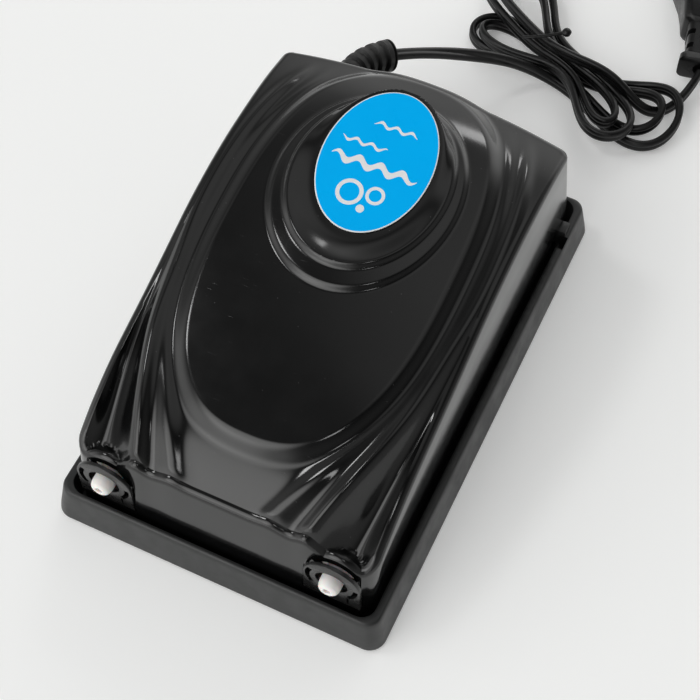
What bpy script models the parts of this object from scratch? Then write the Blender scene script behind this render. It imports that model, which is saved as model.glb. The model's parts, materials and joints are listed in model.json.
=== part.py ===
"""Two-outlet aquarium air pump: tray, moulded cover, electromagnet, two swing-arm bellows
pumps, outlets and a bundled mains cord. Sizes below are in millimetres and are turned
into metres when a mesh is made. Origin: centre of the tray's footprint, on the plane of the
feet's soles, +Z up, outlets facing -Y, cord leaving at +Y."""

import math

import bmesh
import bpy
import numpy as np
from mathutils import Matrix, Vector

MM = 0.001
GAP = 0.3                      # clearance between neighbouring pieces

# ---------------------------------------------------------------- driving dimensions
TRAY_LENGTH = 134.6
TRAY_WIDTH = 85.6
TRAY_TOP = 11.3
TRAY_DRAFT = 1.7               # each wall leans in by this much up to its lip
TRAY_FLOOR = 2.9
TRAY_UNDERSIDE = 0.6
LIP_INNER_X = 39.0
LIP_INNER_Y = 64.2
INLET_Y = -12.0

COVER_X = 38.0                 # half width, constant along the sides
COVER_FRONT = -60.9            # upper edge of the front wall
COVER_BACK = 53.6              # upper edge of the back wall, at mid width
COVER_BACK_BOW = 3.0           # how far that edge curves forward at the corners
COVER_FOOT_FRONT = -63.5
COVER_FOOT_BACK = 63.6
COVER_FOOT_Z = 4.0
COVER_THICKNESS = 1.9
CORNER_FRONT = 5.0
CORNER_BACK = 3.0
COVER_COLUMNS = 26
COVER_ROWS = 36

# height of the cover along its centre line and along its shoulders: (y, z) stations
CREST = ((-61, 28.6), (-50, 35.2), (-38, 38.9), (-20, 43.6), (0, 47.8), (20, 50.7),
         (38, 52.0), (54, 49.4))
SHOULDER = ((-61, 23.6), (-50, 32.3), (-38, 38.0), (-20, 42.2), (0, 46.7), (20, 49.7),
            (38, 49.6), (54, 46.6))
# the two folds on each side: (y, x) stations, and the depth of the outer valley: (y, depth)
FOLD_INNER = ((-61, 11.2), (-46, 20.2), (-30, 28.0), (-14, 31.2), (2, 32.6), (20, 31.8),
              (36, 28.0), (54, 21.5))
FOLD_OUTER = ((-61, 20.6), (-46, 26.2), (-30, 31.1), (-14, 33.5), (2, 35.1), (20, 34.5),
              (36, 32.0), (54, 27.0))
VALLEY_DEPTH = ((-61, 3.6), (-50, 5.0), (-38, 3.2), (-20, 1.6), (0, 0.7), (20, 0.6), (54, 1.5))

EGG_CENTRE_Y = 0.3
EGG_FRONT_LENGTH = 48.6
EGG_BACK_LENGTH = 53.0
EGG_HALF_WIDTH = 29.2
EGG_HEIGHT = 2.0
EGG_FLANK = 2.4

BOSS_OUTER = (17.3, 22.2, 26.8)     # centre y, half width, half length
BOSS_INNER = (18.7, 19.0, 23.3)
BOSS_TOP = (22.4, 14.4, 19.2)
BOSS_STEP = 1.1
LABEL_CENTRE = (0.0, 22.4, 56.1)
LABEL_HALF_WIDTH = 13.55
LABEL_HALF_LENGTH = 18.46
LABEL_PITCH = 13.5                  # degrees, back edge up
LABEL_THICKNESS = 0.35

OUTLET_X = 28.9
OUTLET_Z = 20.0
OUTLET_FACE = -62.9
DOME_RADIUS = 8.0
DOME_CENTRE_Y = -60.9
DOME_REACH = 6.4                    # length of its rounded back end
BEZEL_RADIUS = 7.1
BEZEL_SKIRT = 8.6                   # depth of its straight-sided lower part
NOZZLE_RADIUS = 2.65
NOZZLE_TIP = -65.3
NOZZLE_FLANGE = -58.4

LUG_Y = (53.0, 56.6)

ARM_X = 20.0
ARM_WIDTH = 4.4
PORT_X = 28.4
PIVOT_Y = -34.0
PIVOT_Z = 26.0
BELLOWS_X = 20.5
BELLOWS_RADIUS = 11.0
VALVE_TOP = 16.0

CORE_HALF_LENGTH = 12.5
CORE_Y = 32.0
CORE_Z = 26.0
CORE_HALF = 6.0

CORD_HALF_WIDTH = 1.75              # flat twin cord, an oval section
CORD_HALF_THICKNESS = 1.1
BOOT_WALL = (-25.5, 55.0, 33.5)
BOOT_TAIL_Y = 59.2
BOOT_BEND = (-25.5, 67.0, 33.0)
BOOT_END = (-20.0, 74.3, 30.0)
BOOT_RADIUS = 4.3

TIE_CENTRE = (20.0, 111.0)
TIE_HEADING = -19.0                 # degrees, direction of the bundle at the tie
STRAND_PITCH = 2.55
LAYER_PITCH = 3.8
LAYER_ONE = 1.9
CORD_STEP = 2.5
SETTLE_ROUNDS = 160

PLUG_START = (53.0, 123.6)
PLUG_HEADING = 101.5                # degrees from +X
PLUG_NECK = 17.0
PLUG_BODY = 35.0
PLUG_Z = 6.95
PIN_RADIUS = 2.0
PIN_LENGTH = 19.0
PIN_SPACING = 18.6

POSTS = [(sx * x, y) for sx in (-1, 1) for x, y in ((33.0, 45.0), (14.0, -54.5))]
POST_RADIUS = 3.0
FEET = [(f"foot_{end}_{side}", sx * 34.0, sy)
        for end, sy in (("front", -57.0), ("back", 57.0))
        for side, sx in (("left", -1), ("right", 1))]


# ---------------------------------------------------------------- scene and materials
def clear_scene():
    for obj in list(bpy.data.objects):
        bpy.data.objects.remove(obj, do_unlink=True)


def new_collection(name):
    collection = bpy.data.collections.new(name)
    bpy.context.scene.collection.children.link(collection)
    return collection


def new_material(name, colour, roughness, metallic=0.0):
    material = bpy.data.materials.new(name)
    material.use_nodes = True
    shader = material.node_tree.nodes["Principled BSDF"]
    shader.inputs["Base Color"].default_value = (*colour, 1.0)
    shader.inputs["Roughness"].default_value = roughness
    shader.inputs["Metallic"].default_value = metallic
    material.diffuse_color = (*colour, 1.0)
    return material


clear_scene()
PARTS = new_collection("aquarium_air_pump")
CUTTERS = new_collection("cutters")

GLOSS_BLACK = new_material("gloss_black_plastic", (0.012, 0.012, 0.013), 0.12)
MATTE_GREY = new_material("matte_grey_plastic", (0.085, 0.09, 0.088), 0.6)
LABEL_BLUE = new_material("label_blue", (0.0, 0.38, 0.9), 0.35)
NOZZLE_WHITE = new_material("nozzle_white", (0.86, 0.85, 0.83), 0.3)
RUBBER = new_material("black_rubber", (0.02, 0.02, 0.02), 0.7)
CORD_BLACK = new_material("cord_black", (0.015, 0.015, 0.016), 0.4)
SILICONE = new_material("clear_silicone", (0.7, 0.72, 0.72), 0.3)
STEEL = new_material("zinc_plated_steel", (0.62, 0.63, 0.64), 0.35, 1.0)
CORE_STEEL = new_material("core_steel", (0.3, 0.3, 0.31), 0.45, 1.0)
COPPER = new_material("enamelled_copper", (0.62, 0.25, 0.1), 0.3, 1.0)
NYLON = new_material("white_nylon", (0.75, 0.74, 0.7), 0.45)
FERRITE = new_material("ferrite_magnet", (0.05, 0.05, 0.055), 0.5, 0.3)
FELT = new_material("filter_felt", (0.7, 0.7, 0.66), 0.95)
NICKEL = new_material("nickel_plated_brass", (0.72, 0.7, 0.66), 0.2, 1.0)
LEAD_BLUE = new_material("lead_blue", (0.03, 0.09, 0.4), 0.4)
LEAD_BROWN = new_material("lead_brown", (0.2, 0.09, 0.04), 0.4)


# ---------------------------------------------------------------- shape helpers
def point(x, y, z):
    return Vector((x, y, z)) * MM


def add_object(name, mesh, material, collection=None):
    obj = bpy.data.objects.new(name, mesh)
    (collection or PARTS).objects.link(obj)
    if material:
        mesh.materials.clear()
        mesh.materials.append(material)
    if collection is CUTTERS:
        obj.hide_render = True
        obj.display_type = "WIRE"
    return obj


def from_bmesh(name, bm, material, collection=None, smooth=False):
    bmesh.ops.recalc_face_normals(bm, faces=bm.faces)
    if bm.calc_volume(signed=True) < 0:
        bmesh.ops.reverse_faces(bm, faces=bm.faces)
    mesh = bpy.data.meshes.new(name)
    bm.to_mesh(mesh)
    bm.free()
    if smooth:
        mesh.shade_smooth()
        mesh.set_sharp_from_angle(angle=math.radians(35))
    return add_object(name, mesh, material, collection)


def place(obj, x, y, z):
    obj.location = point(x, y, z)
    return obj


def block(name, low, high, material=None, collection=None, bevel=0.0):
    """Box between two corners, its origin at its centre, with its edges rounded by bevel."""
    low, high = Vector(low), Vector(high)
    bm = bmesh.new()
    bmesh.ops.create_cube(bm, size=1.0)
    bmesh.ops.scale(bm, vec=(high - low) * MM, verts=bm.verts)
    if bevel:
        bmesh.ops.bevel(bm, geom=bm.edges, offset=bevel * MM, segments=1, affect="EDGES")
    obj = from_bmesh(name, bm, material, collection)
    obj.location = (low + high) * 0.5 * MM
    return obj


def rounded_block(name, half_x, half_y, radius, z_low, z_high, inset=0.0,
                  material=None, collection=None):
    """Slab with rounded upright edges; its top is smaller by inset on each side."""
    bm = bmesh.new()
    bmesh.ops.create_cube(bm, size=1.0)
    size = (2 * half_x * MM, 2 * half_y * MM, (z_high - z_low) * MM)
    bmesh.ops.scale(bm, vec=size, verts=bm.verts)
    upright = [e for e in bm.edges if abs(e.verts[0].co.z - e.verts[1].co.z) > 0]
    bmesh.ops.bevel(bm, geom=upright, offset=radius * MM, segments=5, profile=0.5,
                    affect="EDGES")
    shrink = Vector((1 - inset / half_x, 1 - inset / half_y, 1))
    for vert in bm.verts:
        if vert.co.z > 0:
            vert.co = vert.co * shrink
    obj = from_bmesh(name, bm, material, collection)
    obj.location.z = (z_low + z_high) * 0.5 * MM
    return obj


AXIS_TURN = {"Z": Matrix.Identity(4),
             "X": Matrix.Rotation(math.pi / 2, 4, "Y"),
             "Y": Matrix.Rotation(-math.pi / 2, 4, "X")}


def cylinder(name, centre, axis, radius, length, material=None, collection=None,
             sides=20, tip=None):
    """Cylinder (or cone, where tip is its far radius) centred on a point along an axis."""
    bm = bmesh.new()
    bmesh.ops.create_cone(bm, cap_ends=True, segments=sides, radius1=radius * MM,
                          radius2=(radius if tip is None else tip) * MM,
                          depth=length * MM)
    bm.transform(AXIS_TURN[axis])
    obj = from_bmesh(name, bm, material, collection, smooth=True)
    return place(obj, *centre)


def turned(name, profile, place_at, axis, material, steps=24, collection=None):
    """Turned shape: an open (radius, height) profile, run top to bottom, from axis to axis,
    or a closed one for a ring."""
    bm = bmesh.new()
    verts = [bm.verts.new((r * MM, 0, h * MM)) for r, h in profile]
    closed = profile[0][0] > 0
    for a, b in zip(verts, verts[1:]):
        bm.edges.new((a, b))
    if closed:
        bm.edges.new((verts[-1], verts[0]))
    mesh = bpy.data.meshes.new(name)
    bm.to_mesh(mesh)
    bm.free()
    obj = add_object(name, mesh, material, collection)
    screw = obj.modifiers.new("turn", "SCREW")
    screw.steps = steps
    screw.render_steps = steps
    screw.use_merge_vertices = True
    screw.merge_threshold = 0.00001
    screw.use_smooth_shade = True
    obj.matrix_world = Matrix.Translation(point(*place_at)) @ AXIS_TURN[axis]
    return obj


def plate(name, outlines, thickness, matrix, material=None, collection=None):
    """Flat piece: 2D outlines (first the edge, then holes), extruded to a thickness."""
    curve = bpy.data.curves.new(name, "CURVE")
    curve.dimensions = "2D"
    curve.fill_mode = "BOTH"
    curve.extrude = thickness * 0.5 * MM
    for outline in outlines:
        spline = curve.splines.new("POLY")
        spline.points.add(len(outline) - 1)
        for item, (x, y) in zip(spline.points, outline):
            item.co = (x * MM, y * MM, 0, 1)
        spline.use_cyclic_u = True
    obj = bpy.data.objects.new(name + "_outline", curve)
    PARTS.objects.link(obj)
    return mesh_from_curve(obj, name, matrix, material, collection)


def wire(name, points, radius, material=None, collection=None, resolution=2):
    """Round wire along points."""
    curve = bpy.data.curves.new(name, "CURVE")
    curve.dimensions = "3D"
    curve.bevel_depth = radius * MM
    curve.bevel_resolution = resolution
    curve.use_fill_caps = True
    spline = curve.splines.new("POLY")
    spline.points.add(len(points) - 1)
    for item, co in zip(spline.points, points):
        item.co = (co[0] * MM, co[1] * MM, co[2] * MM, 1)
    obj = bpy.data.objects.new(name + "_path", curve)
    PARTS.objects.link(obj)
    return mesh_from_curve(obj, name, Matrix.Identity(4), material, collection)


def mesh_from_curve(source, name, matrix, material, collection):
    bpy.context.view_layer.update()
    evaluated = source.evaluated_get(bpy.context.evaluated_depsgraph_get())
    mesh = bpy.data.meshes.new_from_object(evaluated)
    bpy.data.objects.remove(source, do_unlink=True)
    bm = bmesh.new()
    bm.from_mesh(mesh)
    bpy.data.meshes.remove(mesh)
    bmesh.ops.remove_doubles(bm, verts=bm.verts, dist=0.00001)
    obj = from_bmesh(name, bm, material, collection)
    obj.matrix_world = matrix
    return obj


def boolean(obj, other, operation):
    modifier = obj.modifiers.new(operation.lower() + "_" + other.name, "BOOLEAN")
    modifier.operation = operation
    modifier.object = other
    modifier.solver = "EXACT"


def cut(obj, *cutters):
    for cutter in cutters:
        boolean(obj, cutter, "DIFFERENCE")


def join(obj, *others):
    for other in others:
        boolean(obj, other, "UNION")


def apply_modifiers(obj):
    """Make the modifiers' result the object's own mesh."""
    bpy.context.view_layer.update()
    evaluated = obj.evaluated_get(bpy.context.evaluated_depsgraph_get())
    mesh = bpy.data.meshes.new_from_object(evaluated)
    old = obj.data
    obj.modifiers.clear()
    obj.data = mesh
    bpy.data.meshes.remove(old)


def circle(radius, centre=(0.0, 0.0), sides=20, start=0.0, end=360.0):
    """Points of an arc, or of a full circle without its repeated last point."""
    full = abs(end - start) >= 360.0
    count = sides if full else sides + 1
    angles = [math.radians(start + (end - start) * i / sides) for i in range(count)]
    return [(centre[0] + radius * math.cos(a), centre[1] + radius * math.sin(a))
            for a in angles]


def rectangle(x0, y0, x1, y1):
    return [(x0, y0), (x1, y0), (x1, y1), (x0, y1)]


def loft(name, rings, material, collection=None, closed=False, smooth=True):
    """Skin over rings of equal counts, capped at both ends, or closed into a loop."""
    bm = bmesh.new()
    loops = [[bm.verts.new(Vector(p) * MM) for p in ring] for ring in rings]
    pairs = list(zip(loops, loops[1:]))
    if closed:
        pairs.append((loops[-1], loops[0]))
    for near, far in pairs:
        for i in range(len(near)):
            j = (i + 1) % len(near)
            bm.faces.new((near[i], near[j], far[j], far[i]))
    if not closed:
        bm.faces.new(loops[0])
        bm.faces.new(loops[-1])
    return from_bmesh(name, bm, material, collection, smooth)


def frames_along(path):
    """Centre, side and up vectors at each point of a path, without twist."""
    points = [Vector(p) for p in path]
    frames = []
    side = Vector((1, 0, 0))
    for i, here in enumerate(points):
        ahead = points[min(i + 1, len(points) - 1)]
        behind = points[max(i - 1, 0)]
        tangent = (ahead - behind).normalized()
        side = (side - tangent * side.dot(tangent)).normalized()
        frames.append((here, side, tangent.cross(side)))
    return frames


def ring_at(frame, radius, sides):
    centre, side, up = frame
    turn = 2 * math.pi / sides
    return [centre + side * (radius * math.cos(i * turn)) + up * (radius * math.sin(i * turn))
            for i in range(sides)]


def sleeve(name, path, outer, inner, material, sides=14):
    """Tube along a path with an outer radius per point and one bore radius."""
    frames = frames_along(path)
    skin = [ring_at(frame, radius, sides) for frame, radius in zip(frames, outer)]
    bore = [ring_at(frame, inner, sides) for frame in reversed(frames)]
    return loft(name, skin + bore, material, closed=True)


def bezier(a, b, c, count):
    """Points on a quadratic curve from a to c that leaves towards b."""
    a, b, c = Vector(a), Vector(b), Vector(c)
    steps = [i / (count - 1) for i in range(count)]
    return [a * (1 - t) ** 2 + b * 2 * t * (1 - t) + c * t * t for t in steps]


def hermite(a, slope_a, b, slope_b, count):
    a, b, slope_a, slope_b = map(Vector, (a, b, slope_a, slope_b))
    points = []
    for i in range(count):
        t = i / (count - 1)
        points.append(a * (2 * t ** 3 - 3 * t ** 2 + 1) + slope_a * (t ** 3 - 2 * t ** 2 + t)
                      + b * (3 * t ** 2 - 2 * t ** 3) + slope_b * (t ** 3 - t ** 2))
    return points


def smoothstep(low, high, value):
    t = np.clip((value - low) / (high - low), 0.0, 1.0)
    return t * t * (3 - 2 * t)


def through(stations, at):
    """Smooth curve through (position, value) stations."""
    xs = [s[0] for s in stations]
    values = [s[1] for s in stations]
    last = len(xs) - 1
    at = min(max(at, xs[0]), xs[-1])
    i = max(k for k in range(last) if xs[k] <= at)
    step = xs[i + 1] - xs[i]

    def slope(k):
        low, high = max(k - 1, 0), min(k + 1, last)
        return (values[high] - values[low]) / (xs[high] - xs[low])

    t = (at - xs[i]) / step
    return (values[i] * (2 * t ** 3 - 3 * t ** 2 + 1) + slope(i) * step * (t ** 3 - 2 * t ** 2 + t)
            + values[i + 1] * (3 * t ** 2 - 2 * t ** 3)
            + slope(i + 1) * step * (t ** 3 - t ** 2))


# ---------------------------------------------------------------- cover surface
def egg_inset(x, y):
    """Distance inside the egg-shaped plateau's edge; negative outside it."""
    if y > EGG_CENTRE_Y:
        length, along, across = EGG_BACK_LENGTH, 3.2, 2.6
    else:
        length, along, across = EGG_FRONT_LENGTH, 2.5, 2.4

    def level(px, py):
        s = abs(py - EGG_CENTRE_Y) / length
        return ((abs(px) / EGG_HALF_WIDTH) ** across + s ** along) ** (1 / across)

    here = level(x, y)
    d = 0.05
    away = math.copysign(d, y - EGG_CENTRE_Y)
    gradient = math.hypot(level(abs(x) + d, y) - here, level(x, y + away) - here)
    return (1 - here) / max(gradient / d, 1e-4)


def ellipse_inset(shape, x, y):
    """Distance inside an ellipse (centre y, half width, half length); negative outside."""
    centre, half_width, half_length = shape
    u, v = x / half_width, (y - centre) / half_length
    radius = math.hypot(u, v)
    if radius < 1e-6:
        return min(half_width, half_length)
    gradient = math.hypot(u / half_width, v / half_length) / radius
    return (1 - radius) / gradient


def label_plane(y):
    slope = math.tan(math.radians(LABEL_PITCH))
    return LABEL_CENTRE[2] - LABEL_THICKNESS - GAP + slope * (y - LABEL_CENTRE[1])


def fold_relief(x, y):
    """Two rounded folds, and the valley between the outer one and the shoulder. The folds run
    out before the back edge."""
    inner, outer = through(FOLD_INNER, y), through(FOLD_OUTER, y)
    spread = smoothstep(-15, -55, y)
    ends = smoothstep(50, 30, y)
    folds = ends * smoothstep(COVER_FRONT, COVER_FRONT + 3.0, y)
    ridges = (0.5 + 0.8 * spread) * math.exp(-((x - inner) / (1.6 + 1.6 * spread)) ** 2)
    ridges += (0.9 + 1.7 * spread) * math.exp(-((x - outer) / (1.6 + 0.9 * spread)) ** 2)
    relief = ridges * folds
    reach = (x - outer) / (COVER_X - outer)
    if 0 < reach < 1:
        relief -= through(VALLEY_DEPTH, y) * ends * math.sin(math.pi * reach ** 1.3) ** 2
    return relief


def boss_height(x, y, ground):
    """Stepped oval boss that rises to the label's sloping seat."""
    height = ground
    height += BOSS_STEP * smoothstep(-0.5, 0.5, ellipse_inset(BOSS_OUTER, x, y))
    height += BOSS_STEP * smoothstep(-0.5, 0.5, ellipse_inset(BOSS_INNER, x, y))
    inside = ellipse_inset(BOSS_INNER, x, y)
    if inside <= 0:
        return height
    outside = max(-ellipse_inset(BOSS_TOP, x, y), 0.0)
    rise = smoothstep(0, 1, inside / (inside + outside))
    return height * (1 - rise) + label_plane(y) * rise


def dome_height(x, y):
    """Half-round housing over the outlet, with a rounded back end."""
    across = x - OUTLET_X
    along = max(y - DOME_CENTRE_Y, 0.0) * DOME_RADIUS / DOME_REACH
    left = DOME_RADIUS ** 2 - across ** 2 - along ** 2
    return OUTLET_Z + math.sqrt(left) if left > 0 else 0.0


def cover_height(x, y):
    x = abs(x)
    crest, shoulder = through(CREST, y), through(SHOULDER, y)
    height = crest + (shoulder - crest) * (x / COVER_X) ** 2.2
    inset = egg_inset(x, y)
    height += fold_relief(x, y) * smoothstep(0, -EGG_FLANK, inset)
    height += EGG_HEIGHT * smoothstep(-EGG_FLANK, EGG_FLANK, inset)
    if ellipse_inset(BOSS_OUTER, x, y) > -1:
        height = boss_height(x, y, height)
    return max(height, dome_height(x, y))


def cover_half_width(y):
    """Half width of the roof at y, narrowing round the four corners."""
    for edge, radius, sign in ((COVER_FRONT, CORNER_FRONT, 1), (COVER_BACK, CORNER_BACK, -1)):
        depth = (y - edge) * sign
        if depth < radius:
            return COVER_X - radius + math.sqrt(max(radius ** 2 - (radius - depth) ** 2, 0))
    return COVER_X


def cover_rows():
    """Row positions along y, closer together at the ends."""
    middle, half = (COVER_FRONT + COVER_BACK) / 2, (COVER_BACK - COVER_FRONT) / 2
    rows = []
    for i in range(COVER_ROWS + 1):
        t = 2 * i / COVER_ROWS - 1
        rows.append(middle + half * (0.72 * t + 0.28 * math.sin(t * math.pi / 2)))
    return rows


def roof_point(u, y):
    x = u * cover_half_width(y)
    bow = COVER_BACK_BOW * smoothstep(20, COVER_BACK, y) * (x / COVER_X) ** 2
    edge = smoothstep(0.94, 1.0, abs(u)) + smoothstep(-1.2, 0, -abs(y - COVER_FRONT))
    edge += smoothstep(-1.2, 0, -abs(y - COVER_BACK))
    return Vector((x, y - bow, cover_height(x, y - bow) - 0.9 * min(edge, 1.0)))


def foot_point(top):
    reach = COVER_FOOT_FRONT / COVER_FRONT if top.y < 0 else COVER_FOOT_BACK / COVER_BACK
    bow = COVER_BACK_BOW * smoothstep(20, COVER_BACK, top.y) * (top.x / COVER_X) ** 2
    return Vector((top.x, (top.y + bow) * reach, COVER_FOOT_Z))


def make_cover():
    rows = cover_rows()
    bm = bmesh.new()
    grid = []
    for y in rows:
        us = [2 * i / COVER_COLUMNS - 1 for i in range(COVER_COLUMNS + 1)]
        grid.append([bm.verts.new(roof_point(u, y) * MM) for u in us])
    for near, far in zip(grid, grid[1:]):
        for i in range(COVER_COLUMNS):
            bm.faces.new((near[i], near[i + 1], far[i + 1], far[i]))
    rim = (grid[0] + [row[-1] for row in grid[1:-1]] + grid[-1][::-1]
           + [row[0] for row in grid[-2:0:-1]])
    previous = rim
    for share in (0.5, 1.0):
        ring = []
        for vert in rim:
            top = vert.co / MM
            ring.append(bm.verts.new(top.lerp(foot_point(top), share) * MM))
        for i in range(len(rim)):
            j = (i + 1) % len(rim)
            bm.faces.new((previous[j], previous[i], ring[i], ring[j]))
        previous = ring
    cover = from_bmesh("cover", bm, GLOSS_BLACK, smooth=True)
    shell = cover.modifiers.new("wall", "SOLIDIFY")
    shell.thickness = COVER_THICKNESS * MM
    shell.offset = -1.0
    apply_modifiers(cover)
    join(cover, *cover_posts())
    cut(cover, *cover_openings())
    apply_modifiers(cover)
    return cover


def cover_posts():
    """Screw posts that hang from the roof and stop above the tray's floor. Each ends inside
    the sloping roof's wall, clear of its lowest point above the post."""
    posts = []
    for i, (x, y) in enumerate(POSTS):
        lowest = min(cover_height(x + dx, y + dy) for dx in (-POST_RADIUS, 0, POST_RADIUS)
                     for dy in (-POST_RADIUS, 0, POST_RADIUS))
        top = lowest - COVER_THICKNESS * 0.4
        centre = (x, y, (TRAY_FLOOR + GAP + top) / 2)
        posts.append(cylinder(f"cover_post_{i}", centre, "Z", POST_RADIUS,
                              top - TRAY_FLOOR - GAP,
                              collection=CUTTERS, sides=14))
    return posts


def cover_openings():
    """Screw holes, outlet seats, lug notches and the cord's hole."""
    tools = []
    for i, (x, y) in enumerate(POSTS):
        tools.append(cylinder(f"post_bore_{i}", (x, y, 8.0), "Z", 1.6, 14.0,
                              collection=CUTTERS, sides=12))
    for side, sign in (("left", -1), ("right", 1)):
        seat = (sign * OUTLET_X, -64.1, OUTLET_Z)
        tools.append(cylinder(f"outlet_seat_{side}", seat, "Y", BEZEL_RADIUS + GAP, 5.0,
                              collection=CUTTERS, sides=28))
        low = (sign * OUTLET_X - BEZEL_RADIUS - GAP, -66.1, OUTLET_Z - BEZEL_SKIRT - GAP)
        high = (sign * OUTLET_X + BEZEL_RADIUS + GAP, -61.6, OUTLET_Z)
        tools.append(block(f"skirt_seat_{side}", low, high, collection=CUTTERS))
        tools.append(cylinder(f"outlet_hole_{side}", (sign * OUTLET_X, -60.5, OUTLET_Z), "Y",
                              5.7, 8.0, collection=CUTTERS, sides=28))
        x_in, x_out = sign * (COVER_X - 3.5), sign * (COVER_X + 1.5)
        low = (min(x_in, x_out), LUG_Y[0] - 4.0, 6.8)
        high = (max(x_in, x_out), LUG_Y[1] + GAP, 14.6)
        tools.append(block(f"lug_notch_{side}", low, high, collection=CUTTERS))
    tools.append(cylinder("cord_hole", (BOOT_WALL[0], BOOT_WALL[1], BOOT_WALL[2]), "Y",
                          BOOT_RADIUS - 0.9, 16.0, collection=CUTTERS))
    return tools


def make_label():
    bm = bmesh.new()
    bmesh.ops.create_cone(bm, cap_ends=True, segments=40, radius1=MM, radius2=MM,
                          depth=LABEL_THICKNESS * MM)
    bmesh.ops.scale(bm, vec=(LABEL_HALF_WIDTH, LABEL_HALF_LENGTH, 1), verts=bm.verts)
    label = from_bmesh("label_badge", bm, LABEL_BLUE)
    label.rotation_euler.x = math.radians(LABEL_PITCH)
    x, y, z = LABEL_CENTRE
    return place(label, x, y, z - LABEL_THICKNESS / 2)


# ---------------------------------------------------------------- tray
def make_tray():
    half_x, half_y = TRAY_WIDTH / 2, TRAY_LENGTH / 2
    tray = rounded_block("base_tray", half_x, half_y, 4.2, TRAY_UNDERSIDE, TRAY_TOP,
                         TRAY_DRAFT, MATTE_GREY)
    hollow = rounded_block("tray_hollow", LIP_INNER_X, LIP_INNER_Y, 3.6, TRAY_FLOOR,
                           TRAY_TOP + 5, collection=CUTTERS)
    arch = block("front_arch", (-20.5, -half_y - 2, 0), (20.5, -half_y + 1.2, 1.1),
                 collection=CUTTERS)
    cut(tray, hollow, arch)
    for side, sign in (("left", -1), ("right", 1)):
        inner, outer = sign * (COVER_X - 1.6), sign * (LIP_INNER_X + 1.0)
        lug = block(f"lug_{side}", (min(inner, outer), LUG_Y[0], 7.2),
                    (max(inner, outer), LUG_Y[1], TRAY_TOP + 1.4), collection=CUTTERS)
        join(tray, lug)
    for i, (x, y) in enumerate(POSTS):
        cut(tray, cylinder(f"screw_way_{i}", (x, y, 2.0), "Z", 1.8, 6.0, collection=CUTTERS,
                           sides=12),
            cylinder(f"screw_sink_{i}", (x, y, 0.6), "Z", 3.4, 2.0, collection=CUTTERS,
                     sides=14))
    for name, x, y in FEET:
        cut(tray, cylinder("pocket_" + name, (x, y, 0.6), "Z", 4.8, 1.6, collection=CUTTERS,
                           sides=18))
    cut(tray, cylinder("inlet_way", (0, INLET_Y, 2.0), "Z", 4.0, 8.0, collection=CUTTERS),
        cylinder("inlet_seat", (0, INLET_Y, 0.6), "Z", 7.3, 2.0, collection=CUTTERS))
    apply_modifiers(tray)
    return tray


def make_feet():
    """Rubber feet pressed into shallow pockets; they stand just proud of the tray."""
    for name, x, y in FEET:
        profile = [(0, 1.0), (4.2, 1.0), (4.5, 0.7), (4.5, 0.3), (4.1, 0.0), (0, 0.0)]
        turned(name, profile, (x, y, 0), "Z", RUBBER, 16)


def make_case_screws():
    """Pan-head screws up through the tray's floor into the cover's posts."""
    names = ("back_left", "front_left", "back_right", "front_right")
    for name, (x, y) in zip(names, POSTS):
        profile = [(0, 11.0), (0.5, 10.6), (1.25, 9.4), (1.25, 1.5), (3.0, 1.5), (3.0, 0.9),
                   (2.2, 0.45), (0, 0.45)]
        turned("case_screw_" + name, profile, (x, y, 0), "Z", STEEL, 12)


def make_filter():
    cap_outline = circle(6.9, sides=24)
    holes = [circle(0.8, (3.8 * math.cos(a), 3.8 * math.sin(a)), 8)
             for a in (i * math.pi / 3 for i in range(6))]
    cap = plate("filter_cap", [cap_outline, circle(0.8, sides=8)] + holes, 0.5,
                Matrix.Translation(point(0, INLET_Y, 0.9)), MATTE_GREY)
    felt = cylinder("air_filter", (0, INLET_Y, 2.3), "Z", 3.6, 1.6, FELT, sides=16)
    return cap, felt


# ---------------------------------------------------------------- outlets
def make_bezel(side, sign):
    """Upright plate, round above and straight-sided below, with a round hole, two curved
    slots and a slit that runs from the right slot down to the edge."""
    def slot(start, end):
        return circle(6.5, sides=8, start=start, end=end) + circle(5.3, sides=8, start=end,
                                                                   end=start)

    slit = rectangle(3.8, -7.6, 4.3, -4.9)
    arch = circle(BEZEL_RADIUS, sides=18, end=180)
    arch += [(-BEZEL_RADIUS, -BEZEL_SKIRT), (BEZEL_RADIUS, -BEZEL_SKIRT)]
    outlines = [arch, circle(3.9, sides=20), slot(150, 215), slot(-46, 4), slit]
    turn = Matrix.Rotation(math.pi / 2, 4, "X")
    where = Matrix.Translation(point(sign * OUTLET_X, OUTLET_FACE + 0.5, OUTLET_Z))
    return plate("outlet_bezel_" + side, outlines, 1.0, where @ turn, GLOSS_BLACK)


def make_nozzle(side, sign):
    """White nozzle: rounded barrel in front, flange behind the bezel, barb at the rear.
    Heights run from the rear end (0) towards the tip."""
    rear = -49.0
    total = rear - NOZZLE_TIP
    flange = rear - NOZZLE_FLANGE
    profile = [(0, total), (1.6, total), (2.25, total - 0.4), (NOZZLE_RADIUS, total - 1.4),
               (NOZZLE_RADIUS, flange), (5.2, flange), (5.2, flange - 1.2),
               (2.4, flange - 1.2), (2.0, 2.4), (2.3, 1.8), (1.7, 0), (0, 0)]
    nozzle = turned("outlet_nozzle_" + side, profile, (sign * OUTLET_X, rear, OUTLET_Z), "Z",
                    NOZZLE_WHITE, 20)
    nozzle.rotation_euler = (math.pi / 2, 0, 0)
    bore = cylinder(f"nozzle_bore_{side}", (sign * OUTLET_X, -54.0, OUTLET_Z), "Y", 0.9, 30.0,
                    collection=CUTTERS, sides=10)
    cut(nozzle, bore)
    apply_modifiers(nozzle)
    return nozzle


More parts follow.
